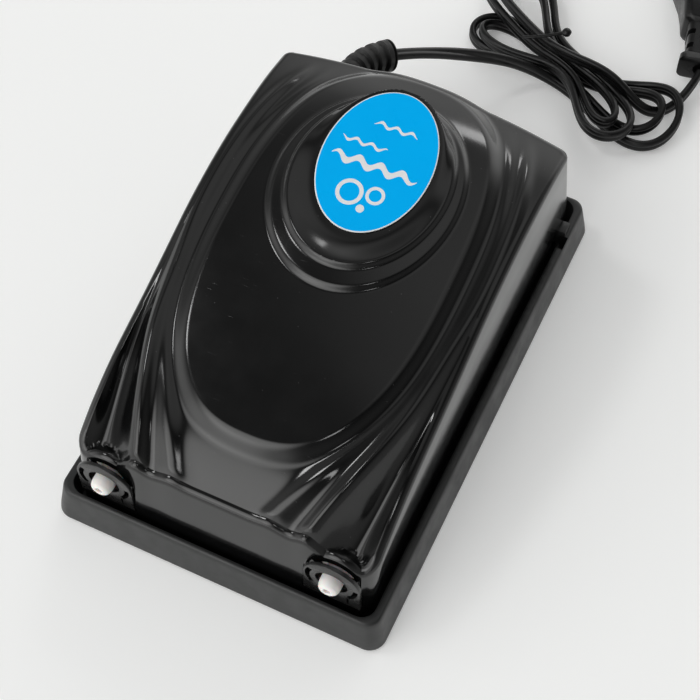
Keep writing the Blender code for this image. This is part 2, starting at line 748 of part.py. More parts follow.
def make_hose(side, sign):
    """Silicone hose from the valve box's port to the nozzle's barb, straight at both ends."""
    start = (sign * PORT_X, -15.2, 9.5)
    leave = (sign * PORT_X, -22.5, 9.5)
    arrive = (sign * OUTLET_X, -47.5, OUTLET_Z)
    end = (sign * OUTLET_X, -55.5, OUTLET_Z)
    path = [start] + hermite(leave, (0, -24, 0), arrive, (0, -24, 0), 7) + [end]
    return sleeve("air_hose_" + side, path, [3.3] * len(path), 2.6, SILICONE, 12)


# ---------------------------------------------------------------- pump units
def make_valve_box(side, sign):
    """Open-topped box split into an inlet and an outlet chamber, with a port towards -Y."""
    x = sign * BELLOWS_X
    top = VALVE_TOP - 2.3 - GAP
    box = block("valve_box_" + side, (x - 11.4, -11.4, TRAY_FLOOR + GAP), (x + 11.4, 11.4, top),
                NYLON, bevel=0.6)
    port = cylinder(f"port_{side}", (sign * PORT_X, -15.0, 9.5), "Y", 2.2, 12.0,
                    collection=CUTTERS, sides=12)
    join(box, port)
    wall = 1.4
    outer = block(f"outlet_chamber_{side}", (x - 11.4 + wall, -11.4 + wall, 5.2),
                  (x + 11.4 - wall, -wall / 2, top + 2), collection=CUTTERS)
    inner = block(f"inlet_chamber_{side}", (x - 11.4 + wall, wall / 2, 5.2),
                  (x + 11.4 - wall, 11.4 - wall, top + 2), collection=CUTTERS)
    intake = block(f"intake_{side}", (x - 4, 8.0, 6.0), (x + 4, 13.0, 9.0), collection=CUTTERS)
    way = cylinder(f"port_bore_{side}", (sign * PORT_X, -15.0, 9.5), "Y", 1.3, 16.0,
                   collection=CUTTERS, sides=10)
    cut(box, outer, inner, intake, way)
    apply_modifiers(box)
    return box


def make_valve_plate(side, sign):
    x = sign * BELLOWS_X
    outlines = [rectangle(-11.4, -11.4, 11.4, 11.4), circle(1.6, (0, 4.5), 12),
                circle(1.6, (0, -4.5), 12)]
    return plate("valve_plate_" + side, outlines, 2.0,
                 Matrix.Translation(point(x, 0, VALVE_TOP - 1.3)), NYLON)


def make_flap(name, x, y_hinge, reach, z):
    """Rubber flap over a port: its origin is on its hinge line, its free end at reach."""
    outline = [(-2.4, 0.0)] + circle(2.7, (0, 4.2), 10, start=200, end=-20) + [(2.4, 0.0)]
    direction = 1 if reach > 0 else -1
    points = [(px, direction * py) for px, py in outline]
    return plate(name, [points], 0.7, Matrix.Translation(point(x, y_hinge, z)), RUBBER)


def make_flaps(side, sign):
    x = sign * BELLOWS_X
    above = VALVE_TOP - 0.3 + GAP + 0.35
    below = VALVE_TOP - 2.3 - GAP - 0.35
    make_flap("inlet_flap_" + side, x, 0.6, 1, above)
    make_flap("outlet_flap_" + side, x, -1.0, -1, below - 0.05)


def make_diaphragm(side, sign):
    """Rubber cup: a rim on the valve plate, one soft fold and a flat crown under the arm."""
    base = VALVE_TOP
    profile = [(1.6, 7.3), (8.6, 7.3), (9.0, 6.9), (9.0, 5.2), (9.9, 4.6), (9.9, 3.4),
               (9.3, 2.6), (9.8, 1.2), (BELLOWS_RADIUS, 1.2), (BELLOWS_RADIUS, 0),
               (8.6, 0), (8.2, 2.6), (8.8, 4.0), (7.9, 5.0), (7.9, 6.2), (1.6, 6.2)]
    return turned("diaphragm_" + side, profile, (sign * BELLOWS_X, 0, base), "Z", RUBBER, 18)


def make_diaphragm_screw(side, sign):
    """Screw through the arm's pad, with the disc that clamps the diaphragm's crown."""
    profile = [(0, 1.9), (1.9, 1.6), (2.4, 0.9), (2.4, GAP), (1.2, GAP), (1.2, -6.3),
               (3.2, -6.3), (3.2, -7.3), (0, -7.3)]
    return turned("diaphragm_screw_" + side, profile,
                  (sign * BELLOWS_X, 0, PIVOT_Z + 2.2), "Z", STEEL, 12)


def make_arm(side, sign):
    """Swing arm: eye at the pivot, bar over the diaphragm, cheek that carries the magnet.
    Its origin is on the pivot axis."""
    x = sign * ARM_X
    bar = block("swing_arm_" + side, (x - ARM_WIDTH / 2, PIVOT_Y + 1.5, PIVOT_Z - 2.0),
                (x + ARM_WIDTH / 2, 38.0, PIVOT_Z + 2.0), NYLON)
    eye = cylinder(f"arm_eye_{side}", (x, PIVOT_Y, PIVOT_Z), "X", 3.6, ARM_WIDTH,
                   collection=CUTTERS, sides=20)
    pad = cylinder(f"arm_pad_{side}", (sign * BELLOWS_X, 0, PIVOT_Z - 0.15), "Z", 5.0, 4.3,
                   collection=CUTTERS, sides=20)
    cheek = block(f"arm_cheek_{side}", (x - ARM_WIDTH / 2, 26.0, PIVOT_Z - 8.0),
                  (x + ARM_WIDTH / 2, 38.2, PIVOT_Z + 8.0), collection=CUTTERS)
    join(bar, eye, pad, cheek)
    cut(bar, cylinder(f"eye_bore_{side}", (x, PIVOT_Y, PIVOT_Z), "X", 1.8, 12.0,
                      collection=CUTTERS, sides=16),
        cylinder(f"pad_bore_{side}", (sign * BELLOWS_X, 0, PIVOT_Z), "Z", 1.5, 12.0,
                 collection=CUTTERS, sides=12))
    apply_modifiers(bar)
    move_origin(bar, (x, PIVOT_Y, PIVOT_Z))
    return bar


def move_origin(obj, where):
    """Put an object's origin on a point without moving its shape."""
    shift = obj.location - point(*where)
    obj.data.transform(Matrix.Translation(shift))
    obj.location = point(*where)


def make_magnet(side, sign):
    inner = sign * (CORE_HALF_LENGTH + 0.9)
    outer = sign * (ARM_X - ARM_WIDTH / 2 - GAP)
    return block("arm_magnet_" + side, (min(inner, outer), 27.0, PIVOT_Z - 7.0),
                 (max(inner, outer), 37.0, PIVOT_Z + 7.0), FERRITE, bevel=0.5)


def make_bracket(side, sign):
    """Two cheeks on a foot that carry the pivot pin."""
    x = sign * ARM_X
    foot = TRAY_FLOOR + GAP
    half = 4.7
    bracket = block("pivot_bracket_" + side, (x - half, PIVOT_Y - 4.5, foot),
                    (x + half, PIVOT_Y + 4.5, PIVOT_Z + 4.5), NYLON, bevel=0.5)
    slot = block(f"bracket_slot_{side}", (x - ARM_WIDTH / 2 - 0.5, PIVOT_Y - 8, 18.0),
                 (x + ARM_WIDTH / 2 + 0.5, PIVOT_Y + 8, 40.0), collection=CUTTERS)
    relief = block(f"bracket_relief_{side}", (x - 2.6, PIVOT_Y - 8, 7.0),
                   (x + 2.6, PIVOT_Y + 8, 14.5), collection=CUTTERS)
    bore = cylinder(f"bracket_bore_{side}", (x, PIVOT_Y, PIVOT_Z), "X", 1.8, 14.0,
                    collection=CUTTERS, sides=16)
    cut(bracket, slot, relief, bore)
    apply_modifiers(bracket)
    return bracket


def make_pivot_pin(side, sign):
    return cylinder("pivot_pin_" + side, (sign * ARM_X, PIVOT_Y, PIVOT_Z), "X", 1.5, 9.8,
                    STEEL, sides=16)


# ---------------------------------------------------------------- electromagnet
def make_core():
    return block("laminated_core", (-CORE_HALF_LENGTH, CORE_Y - CORE_HALF, CORE_Z - CORE_HALF),
                 (CORE_HALF_LENGTH, CORE_Y + CORE_HALF, CORE_Z + CORE_HALF), CORE_STEEL,
                 bevel=0.3)


def make_bobbin():
    """Spool with two square flanges and a square bore round the core."""
    tube, flange = CORE_HALF + 1.4, 12.6
    bobbin = block("coil_bobbin", (-11.0, CORE_Y - flange, CORE_Z - flange),
                   (11.0, CORE_Y + flange, CORE_Z + flange), NYLON, bevel=0.4)
    waist = block("bobbin_waist", (-9.6, CORE_Y - 20, CORE_Z - 20),
                  (9.6, CORE_Y + 20, CORE_Z + 20), collection=CUTTERS)
    keep = block("bobbin_tube", (-12.0, CORE_Y - tube, CORE_Z - tube),
                 (12.0, CORE_Y + tube, CORE_Z + tube), collection=CUTTERS)
    cut(waist, keep)
    bore_half = CORE_HALF + GAP
    bore = block("bobbin_bore", (-14, CORE_Y - bore_half, CORE_Z - bore_half),
                 (14, CORE_Y + bore_half, CORE_Z + bore_half), collection=CUTTERS)
    cut(bobbin, waist, bore)
    apply_modifiers(bobbin)
    return bobbin


def make_winding():
    inner, outer = CORE_HALF + 1.4 + GAP, 11.8

    def square(half, radius):
        corners = ((1, 1, 0), (-1, 1, 90), (-1, -1, 180), (1, -1, 270))
        points = []
        for sx, sy, start in corners:
            centre = (sx * (half - radius), sy * (half - radius))
            points += circle(radius, centre, 4, start, start + 90)
        return points

    turn = Matrix.Rotation(math.pi / 2, 4, "Y")
    return plate("coil_winding", [square(outer, 4.0), square(inner, 0.4)], 18.4,
                 Matrix.Translation(point(0, CORE_Y, CORE_Z)) @ turn, COPPER)


def make_cradle():
    """Block under the coil with a trough for the bobbin's flanges."""
    top = CORE_Z - 12.6 + 3.0
    cradle = block("coil_cradle", (-9.0, 16.5, TRAY_FLOOR + GAP), (9.0, 47.5, top), NYLON,
                   bevel=0.5)
    trough = block("cradle_trough", (-14, CORE_Y - 12.6 - GAP, CORE_Z - 12.6 - GAP),
                   (14, CORE_Y + 12.6 + GAP, top + 5), collection=CUTTERS)
    light = block("cradle_window", (-14, CORE_Y - 8, 6.5), (14, CORE_Y + 8, 10.5),
                  collection=CUTTERS)
    cut(cradle, trough, light)
    for i, y in enumerate((17.9, 46.1)):
        cut(cradle, cylinder(f"cradle_bore_{i}", (0, y, 14), "Z", 0.9, 12, collection=CUTTERS,
                             sides=10))
    apply_modifiers(cradle)
    return cradle


def make_strap():
    """Steel strap over the coil with a foot at each end on the cradle."""
    sheet = 1.0
    inner = 12.6 + GAP
    low = CORE_Z - 12.6 + 3.0 + GAP
    y0, y1 = CORE_Y - inner, CORE_Y + inner
    top = CORE_Z + 12.6 + GAP
    outline = [(y0 - 2.6, low), (y0, low), (y0, top), (y1, top), (y1, low), (y1 + 2.6, low),
               (y1 + 2.6, low + sheet), (y1 + sheet, low + sheet), (y1 + sheet, top + sheet),
               (y0 - sheet, top + sheet), (y0 - sheet, low + sheet), (y0 - 2.6, low + sheet)]
    upright = Matrix(((0, 0, 1, 0), (1, 0, 0, 0), (0, 1, 0, 0), (0, 0, 0, 1)))
    strap = plate("coil_strap", [outline], 8.0, upright, STEEL)
    return strap


def make_leads():
    """Two wires from the cord's inner end to the coil."""
    start = Vector((BOOT_WALL[0], 44.5, BOOT_WALL[2]))
    for name, rise, material in (("coil_lead_1", 1.0, LEAD_BROWN),
                                 ("coil_lead_2", -1.0, LEAD_BLUE)):
        first = start + Vector((0, 0, rise))
        last = (-12.0, 46.6, BOOT_WALL[2] + rise * 1.6)
        path = hermite(first, (0, -5, 0), last, (12, 0, 0), 9)
        wire(name, path, 0.6, material)


# ---------------------------------------------------------------- cord and plug
def boot_curve(count):
    """The part outside the wall, bending towards the bundle."""
    return bezier((BOOT_WALL[0], BOOT_TAIL_Y, BOOT_WALL[2]), BOOT_BEND, BOOT_END, count)


def make_boot():
    """Strain relief: inner flange, neck in the wall, outer flange, ribbed tail."""
    path, outer = [], []
    neck, valley, crest = BOOT_RADIUS - 1.2, BOOT_RADIUS - 1.0, BOOT_RADIUS
    for y, radius in ((49.0, crest), (50.6, crest), (50.8, neck), (57.5, neck), (57.7, crest)):
        path.append(Vector((BOOT_WALL[0], y, BOOT_WALL[2])))
        outer.append(radius)
    tail = boot_curve(24)
    ribs = (crest, valley, valley, crest) * 5 + (crest, valley, crest, crest)
    path += tail
    outer += ribs
    return sleeve("cord_boot", path, outer, CORD_HALF_WIDTH + GAP, RUBBER, 12)


def heading(degrees):
    return Vector((math.cos(math.radians(degrees)), math.sin(math.radians(degrees)), 0))


# each turn of the bundle: right reach, left reach, place across the tie, spread of the right
# and of the left lobe, layer, and the headings of the lobes relative to the tie's
TURNS = (
    (33.0, 34.0, 1.5, 22.0, 14.0, 0, 9.0, 5.0),
    (28.5, 31.0, 0.5, 17.0, 11.0, 0, 9.0, 5.0),
    (27.0, 43.0, 1.5, 13.0, 19.0, 1, -21.0, -21.0),
    (22.5, 39.0, 0.5, 10.5, 16.0, 1, -21.0, -21.0),
    (20.0, 39.0, 0.0, 10.5, 16.0, 2, -21.0, -21.0),
)
UNDERPASS = (48.0, 111.5)           # where the lower lobe is lifted over the cord's exit


def bundle_point(turn, degrees):
    """Point on one turn of the bundle; -90 is the near side of the tie, 0 the right end."""
    angle = math.radians(degrees)
    here, after = TURNS[turn], TURNS[turn + 1]
    along, across = math.cos(angle), math.sin(angle)
    right = along > 0
    share = float(smoothstep(100, 260, degrees))
    pinch = STRAND_PITCH * (here[2] + (after[2] - here[2]) * share)
    spread = here[3] if right else here[4]
    e = along * (here[0] if right else here[1])
    n = across * (pinch + spread * along * along)
    turned_by = float(smoothstep(0, 0.7, abs(along))) * (here[6] if right else here[7])
    base = math.radians(TIE_HEADING + turned_by)
    x = TIE_CENTRE[0] + e * math.cos(base) - n * math.sin(base)
    y = TIE_CENTRE[1] + e * math.sin(base) + n * math.cos(base)
    climb = float(smoothstep(140, 225, degrees))
    z = LAYER_ONE + LAYER_PITCH * (here[5] + (after[5] - here[5]) * climb)
    z += 1.3 * math.exp(-(e / 7.0) ** 2)
    if here[5]:
        z += 1.3 * float(smoothstep(8, 22, e))
    else:
        z += 4.3 * math.exp(-((x - UNDERPASS[0]) ** 2 + (y - UNDERPASS[1]) ** 2) / 60.0)
    return Vector((x, y, z))


def evenly(path, step):
    """The same line with its points at equal distances."""
    points = np.array([tuple(p) for p in path])
    along = np.concatenate([[0], np.cumsum(np.linalg.norm(np.diff(points, axis=0), axis=1))])
    at = np.linspace(0, along[-1], int(along[-1] / step) + 1)
    return np.stack([np.interp(at, along, points[:, k]) for k in range(3)], axis=1)


def settle(points, step, free_from, free_to):
    """Push strands that would overlap apart, sideways or up and down, and smooth the line."""
    reach = np.array([STRAND_PITCH, STRAND_PITCH, LAYER_PITCH])
    index = np.arange(len(points))
    apart = np.abs(index[:, None] - index[None]) * step > 9.0
    free = ((index >= free_from) & (index < len(points) - free_to))[:, None]
    for _ in range(SETTLE_ROUNDS):
        offset = (points[:, None] - points[None]) / reach
        distance = np.linalg.norm(offset, axis=2) + 1e-6
        press = np.where(apart, np.clip(1.0 - distance, 0.0, None), 0.0)
        push = (offset / distance[..., None] * press[..., None]).sum(axis=1) * reach * 0.3
        push[1:-1] = (push[:-2] + 2 * push[1:-1] + push[2:]) / 4
        bend = np.zeros_like(points)
        bend[1:-1] = (points[:-2] + points[2:]) / 2 - points[1:-1]
        bend[1:-1] = bend[1:-1] - (bend[:-2] + bend[2:]) / 2
        points = points + np.where(free, push + 0.25 * bend, 0.0)
        points[:, 2] = np.maximum(points[:, 2], LAYER_ONE)
    return points


def cord_path(step):
    """Centre line of the cord: boot, bundle of four turns, then over the upper lobe, down
    inside the lower one, under its far side and up to the plug."""
    tail = (Vector(BOOT_END) - Vector(BOOT_BEND)).normalized()
    inside = [Vector((BOOT_WALL[0], 46.0, BOOT_WALL[2]))]
    first = bundle_point(0, -90)
    run_in = hermite(BOOT_END, tail * 46, first, heading(-20) * 40 + Vector((0, 0, -4)), 20)
    path = inside + boot_curve(12)[:-1] + run_in[:-1]
    for turn in range(4):
        path += [bundle_point(turn, -90 + 6 * i) for i in range(60)]
    way_out = (
        (bundle_point(3, 269.9), heading(-10) * 10),
        (Vector((31.5, 110.6, 9.9)), Vector((9.0, -1.2, -2.5))),
        (Vector((42.0, 107.8, 2.2)), Vector((7.0, -0.2, -3.0))),
        (Vector((49.6, 113.6, 2.2)), Vector((3.4, 7.0, 1.5))),
        (Vector((*PLUG_START, PLUG_Z)) + heading(PLUG_HEADING), heading(PLUG_HEADING) * 8),
    )
    path.append(way_out[0][0])
    for (a, slope_a), (b, slope_b) in zip(way_out, way_out[1:]):
        path += hermite(a, slope_a, b, slope_b, 7)[1:]
    return settle(evenly(path, step), step, int(48 / step), int(9 / step))


def make_cord():
    """Oval cord that lies flat where it leaves the boot and stands on edge in the bundle."""
    fine = cord_path(CORD_STEP)
    path = [Vector(p) for p in np.concatenate([fine[:-2:2], fine[-1:]])]
    rings = []
    for i, here in enumerate(path):
        tangent = path[min(i + 1, len(path) - 1)] - path[max(i - 1, 0)]
        side = tangent.cross(Vector((0, 0, 1))).normalized()
        up = side.cross(tangent.normalized())
        twist = math.pi / 2 * (1 - float(smoothstep(38, 78, 2 * i * CORD_STEP)))
        wide = up * math.cos(twist) - side * math.sin(twist)
        thin = side * math.cos(twist) + up * math.sin(twist)
        rings.append([here + thin * px + wide * py for px, py in
                      ((CORD_HALF_THICKNESS * cx, CORD_HALF_WIDTH * cy)
                       for cx, cy in circle(1.0, sides=8, start=22.5, end=382.5))])
    return loft("power_cord", rings, CORD_BLACK)


def make_tie():
    """Twist tie: a band round the strands and two free tails joined over it."""
    hole = [(-6.2, 0.7), (5.8, 0.7), (5.8, 9.0), (2.2, 13.1), (-1.8, 13.1), (-6.2, 9.3)]
    edge = [(-6.8, 0.1), (6.4, 0.1), (6.5, 9.3), (2.5, 13.8), (-2.1, 13.8), (-6.9, 9.6)]
    along = heading(TIE_HEADING)
    across = heading(TIE_HEADING + 90)
    basis = Matrix(((across.x, 0, along.x, TIE_CENTRE[0] * MM),
                    (across.y, 0, along.y, TIE_CENTRE[1] * MM),
                    (0, 1, 0, 0), (0, 0, 0, 1)))
    band = plate("cord_tie", [edge, hole], 2.2, basis, CORD_BLACK)
    start = Vector((*TIE_CENTRE, 13.6)) + across * 1.0
    knot = Vector((15.6, 115.9, 14.2))
    link = hermite(start - across * 1.4, knot - start, knot, knot - start, 4)
    right = hermite(knot, (4, 4, 1), (31.0, 117.5, 9.0), (9, -5, -5), 7)
    left = hermite(knot, (-3, -3, 0), (4.4, 111.2, 12.2), (-6, 1, -1), 5)
    tails = [wire(f"tie_tail_{i}", path, 0.6, collection=CUTTERS, resolution=1)
             for i, path in enumerate((link, right, left))]
    ball = cylinder("tie_knot", knot, "Z", 1.3, 1.6, collection=CUTTERS, sides=10)
    join(band, ball, *tails)
    apply_modifiers(band)
    return band


def plug_matrix():
    turn = Matrix.Rotation(math.radians(PLUG_HEADING - 90), 4, "Z")
    return Matrix.Translation(point(*PLUG_START, PLUG_Z)) @ turn


def make_plug():
    """Flat two-pin plug lying on its side: slotted neck, then a body that widens to the
    pin face. Sections run along +Y from the cord's end."""
    def section(y, half_x, half_z, corner):
        corners = ((1, 1, 0), (-1, 1, 90), (-1, -1, 180), (1, -1, 270))
        ring = []
        for sx, sz, start in corners:
            centre = (sx * (half_x - corner), sz * (half_z - corner))
            ring += [(px, y, pz) for px, pz in circle(corner, centre, 3, start, start + 90)]
        return ring

    end = PLUG_NECK + PLUG_BODY
    stations = ((2.0, 6.2, 4.2, 1.5), (4.6, 6.2, 4.2, 1.5), (4.8, 4.6, 3.6, 1.5),
                (PLUG_NECK - 1, 5.4, 4.4, 1.8), (PLUG_NECK, 7.0, 5.6, 2.2),
                (PLUG_NECK + 9, 8.6, 6.6, 2.4), (PLUG_NECK + 20, 12.6, 6.85, 2.4),
                (end, 12.8, 6.85, 2.4))
    plug = loft("plug_body", [section(*s) for s in stations], CORD_BLACK)
    plug.matrix_world = plug_matrix()
    slots = []
    for i, y in enumerate((7.6, 12.4)):
        for side in (-1, 1):
            tool = block(f"plug_slot_{i}_{side}", (min(side * 3.1, side * 9), y - 0.8, -9),
                         (max(side * 3.1, side * 9), y + 0.8, 9), collection=CUTTERS)
            tool.matrix_world = plug_matrix() @ tool.matrix_basis
            slots.append(tool)
    slots.append(plug_tool("plug_cord_way", 0.0, CORD_HALF_WIDTH + GAP, 2.0, 4.4))
    for side in (-1, 1):
        slots.append(plug_tool(f"pin_socket_{side}", side * PIN_SPACING / 2,
                               PIN_RADIUS + GAP, end, 12.0))
    cut(plug, *slots)
    apply_modifiers(plug)
    return plug


def plug_tool(name, x, radius, y, length):
    tool = cylinder(name, (x, y, 0), "Y", radius, length, collection=CUTTERS, sides=14)
    tool.matrix_world = plug_matrix() @ Matrix.Translation(point(x, y, 0))
    return tool


def make_pins():
    base = PLUG_NECK + PLUG_BODY
    for name, side in (("plug_pin_left", -1), ("plug_pin_right", 1)):
        profile = [(0, PIN_LENGTH), (1.2, PIN_LENGTH - 0.2), (PIN_RADIUS, PIN_LENGTH - 1.4),
                   (PIN_RADIUS, -5.5), (0, -5.5)]
        pin = turned(name, profile, (0, 0, 0), "Z", NICKEL, 16)
        pin.matrix_world = (plug_matrix() @ Matrix.Translation(point(side * PIN_SPACING / 2,
                                                                    base, 0))
                            @ Matrix.Rotation(-math.pi / 2, 4, "X"))


# ---------------------------------------------------------------- assembly
def make_pump_unit(side, sign):
    make_bezel(side, sign)
    make_nozzle(side, sign)
    make_hose(side, sign)
    make_valve_box(side, sign)
    make_valve_plate(side, sign)
    make_flaps(side, sign)
    make_diaphragm(side, sign)
    make_diaphragm_screw(side, sign)
    make_arm(side, sign)
    make_magnet(side, sign)
    make_bracket(side, sign)
    make_pivot_pin(side, sign)


def main():
    make_cover()
    make_label()
    make_tray()
    make_feet()
    make_case_screws()
    make_filter()
    for side, sign in (("left", -1), ("right", 1)):
        make_pump_unit(side, sign)
    make_core()
    make_bobbin()
    make_winding()
    make_cradle()
    make_strap()
    make_leads()
    make_boot()
    make_cord()
    make_tie()
    make_plug()
    make_pins()


main()
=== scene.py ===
"""Looks of the two-outlet aquarium air pump: detailed pieces and procedural materials on the
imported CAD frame. Lengths are in millimetres and become metres when a mesh is made. The frame
is the CAD's: centre of the tray's footprint on the floor, outlets facing -Y, +Z up."""

import json
import math

import bmesh
import bpy
import numpy as np
from mathutils import Matrix, Vector

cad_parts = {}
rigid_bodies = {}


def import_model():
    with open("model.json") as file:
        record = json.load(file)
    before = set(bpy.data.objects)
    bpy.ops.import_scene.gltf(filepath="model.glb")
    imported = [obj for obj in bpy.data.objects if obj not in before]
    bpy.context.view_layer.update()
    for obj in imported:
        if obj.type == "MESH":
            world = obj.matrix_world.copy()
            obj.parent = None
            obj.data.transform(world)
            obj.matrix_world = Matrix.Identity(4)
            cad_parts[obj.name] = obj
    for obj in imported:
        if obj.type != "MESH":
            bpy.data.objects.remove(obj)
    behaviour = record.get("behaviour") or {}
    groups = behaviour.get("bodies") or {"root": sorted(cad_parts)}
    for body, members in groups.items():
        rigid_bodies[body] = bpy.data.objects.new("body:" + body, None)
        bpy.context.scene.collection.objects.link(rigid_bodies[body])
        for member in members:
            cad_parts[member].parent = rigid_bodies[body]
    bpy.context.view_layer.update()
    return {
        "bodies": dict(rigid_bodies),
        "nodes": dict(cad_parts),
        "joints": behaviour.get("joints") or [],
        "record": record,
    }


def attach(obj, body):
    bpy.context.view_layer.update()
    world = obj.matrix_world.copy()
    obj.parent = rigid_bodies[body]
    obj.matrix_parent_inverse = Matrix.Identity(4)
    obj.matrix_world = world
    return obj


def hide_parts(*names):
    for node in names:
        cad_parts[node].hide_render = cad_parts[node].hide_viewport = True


MM = 0.001
GAP = 0.3

# ---------------------------------------------------------------- driving dimensions
TRAY_LENGTH = 134.6
TRAY_WIDTH = 85.6
TRAY_TOP = 11.3
TRAY_DRAFT = 1.7
TRAY_FLOOR = 2.9
TRAY_UNDERSIDE = 0.6
TRAY_CORNER = 4.2
LIP_INNER_X = 39.0
LIP_INNER_Y = 64.2
LIP_CORNER = 3.6
LUG_Y = (53.0, 56.6)
INLET_Y = -12.0

COVER_X = 38.0
COVER_FRONT = -60.9
COVER_BACK = 53.6
COVER_BACK_BOW = 3.0
COVER_FOOT_FRONT = -63.5
COVER_FOOT_BACK = 63.6
COVER_FOOT_Z = 4.0
COVER_THICKNESS = 1.9
CORNER_FRONT = 5.0
CORNER_BACK = 2.6
COVER_EDGE = 1.9               # radius of the rounded edge between roof and walls
COVER_COLUMNS = 228
COVER_ROW_STEP = 0.37
CORNER_ROWS = 7
EDGE_RINGS = 7
FRONT_FADE = 3.0               # the folds run out this far from the front edge

# height of the cover along its centre line and along its shoulders: (y, z) stations
CREST = ((-61, 28.6), (-50, 35.2), (-38, 38.9), (-20, 43.6), (0, 47.8), (20, 50.7),
         (38, 52.0), (54, 49.4))
SHOULDER = ((-61, 24.6), (-50, 33.0), (-38, 38.6), (-20, 42.9), (0, 47.4), (20, 50.3),
            (38, 50.0), (54, 47.0))
# the two folds on each side: (y, x) stations, and the depth of the outer valley: (y, depth)
FOLD_INNER = ((-61, 11.2), (-46, 20.2), (-30, 28.0), (-14, 31.2), (2, 32.6), (20, 31.8),
              (36, 28.0), (54, 21.5))
FOLD_OUTER = ((-61, 20.6), (-46, 26.2), (-30, 31.1), (-14, 33.5), (2, 35.1), (20, 34.5),
              (36, 32.0), (54, 27.0))
VALLEY_DEPTH = ((-61, 3.6), (-50, 5.0), (-38, 3.2), (-20, 1.2), (0, 0.3), (20, 0.0), (54, 0.0))

EGG_CENTRE_Y = 0.3
EGG_FRONT_LENGTH = 48.6
EGG_BACK_LENGTH = 53.0
EGG_HALF_WIDTH = 29.2
EGG_HEIGHT = 2.0
EGG_FLANK = 2.4

BOSS_OUTER = (17.3, 22.2, 26.8)     # centre y, half width, half length
BOSS_INNER = (18.7, 19.0, 23.3)
BOSS_TOP = (22.4, 14.4, 19.2)
BOSS_STEP = 1.1
BOSS_SLOPE = 0.45                   # rise of the band between the two steps
LABEL_CENTRE = (0.0, 22.4, 56.1)
LABEL_HALF_WIDTH = 13.55
LABEL_HALF_LENGTH = 18.46
LABEL_PITCH = 13.5
LABEL_THICKNESS = 0.35
PRINT_THICKNESS = 0.04

OUTLET_X = 28.9
OUTLET_Z = 20.0
OUTLET_FACE = -62.9
DOME_RADIUS = 8.0
DOME_CENTRE_Y = -60.9
DOME_REACH = 6.4                    # length of its rounded back end
BEZEL_RADIUS = 7.1
BEZEL_SKIRT = 8.6                   # depth of its straight-sided lower part
BEZEL_HOLE = 3.9
SLOT_OUTER = 6.5
SLOT_INNER = 5.3
OUTLET_BORE = 5.7                   # hole in the cover behind the bezel
NOZZLE_RADIUS = 2.65
NOZZLE_TIP = -65.3
NOZZLE_FLANGE = -58.4

CORD_LOBE = 1.0                     # radius of each core of the flat twin cord
CORD_LOBE_AT = 0.76
BOOT_WALL = (-25.5, 55.0, 33.5)
BOOT_TAIL_Y = 59.2
BOOT_BEND = (-25.5, 67.0, 33.0)
BOOT_END = (-20.0, 74.3, 30.0)
BOOT_RADIUS = 4.3
BOOT_BORE = 2.05

TIE_CENTRE = (20.0, 111.0)
TIE_HEADING = -19.0
STRAND_PITCH = 2.55
LAYER_PITCH = 3.8
LAYER_ONE = 1.9
CORD_STEP = 2.5
SETTLE_ROUNDS = 160
UNDERPASS = (48.0, 111.5)

PLUG_START = (53.0, 123.6)
PLUG_HEADING = 101.5
PLUG_NECK = 17.0
PLUG_BODY = 35.0
PLUG_Z = 6.95
PIN_RADIUS = 2.0
PIN_LENGTH = 19.0
PIN_SPACING = 18.6

POSTS = [(sx * x, y) for sx in (-1, 1) for x, y in ((33.0, 45.0), (14.0, -54.5))]
POST_RADIUS = 3.0
FEET = [(f"foot_{end}_{side}", sx * 34.0, sy)
        for end, sy in (("front", -57.0), ("back", 57.0))
        for side, sx in (("left", -1), ("right", 1))]
SIDES = (("left", -1), ("right", 1))

CAMERA_AZIMUTH = 25.36
CAMERA_ELEVATION = 58.65
CAMERA_DISTANCE = 406.97
CAMERA_SHIFT = (3.37, 2.83)         # along the picture's right and up
CAMERA_LENS = 82.3

FLOOR_GLOW = 0.19                   # light table under the object
# soft lights of the tent: azimuth (0 is +Y, 90 is +X), elevation, half width and softness of
# the edge in degrees, and radiance
TENT_LIGHTS = ((-157, 46, 17, 9, 2.2), (-150, 18, 18, 10, 0.7), (30, 72, 20, 11, 0.5))
# darker sides of the tent: the same, with the share by which the walls are dimmed
TENT_SHADES = ((100, 20, 62, 8, -0.75), (-60, 8, 34, 10, -0.75))
# brightness of the tent's walls by elevation in degrees
TENT_WALLS = ((-90, 1.3), (0, 1.6), (22, 1.35), (42, 0.6), (60, 0.16), (90, 0.12))
# small lamps: name, azimuth, elevation and width in degrees, and radiance
LAMPS = (("lamp_left", -99, 60, 9, 11), ("lamp_back", -8, 38, 7, 6),
         ("lamp_right", 152, 59, 6, 6))
LAMP_DISTANCE = 1.3                 # metres


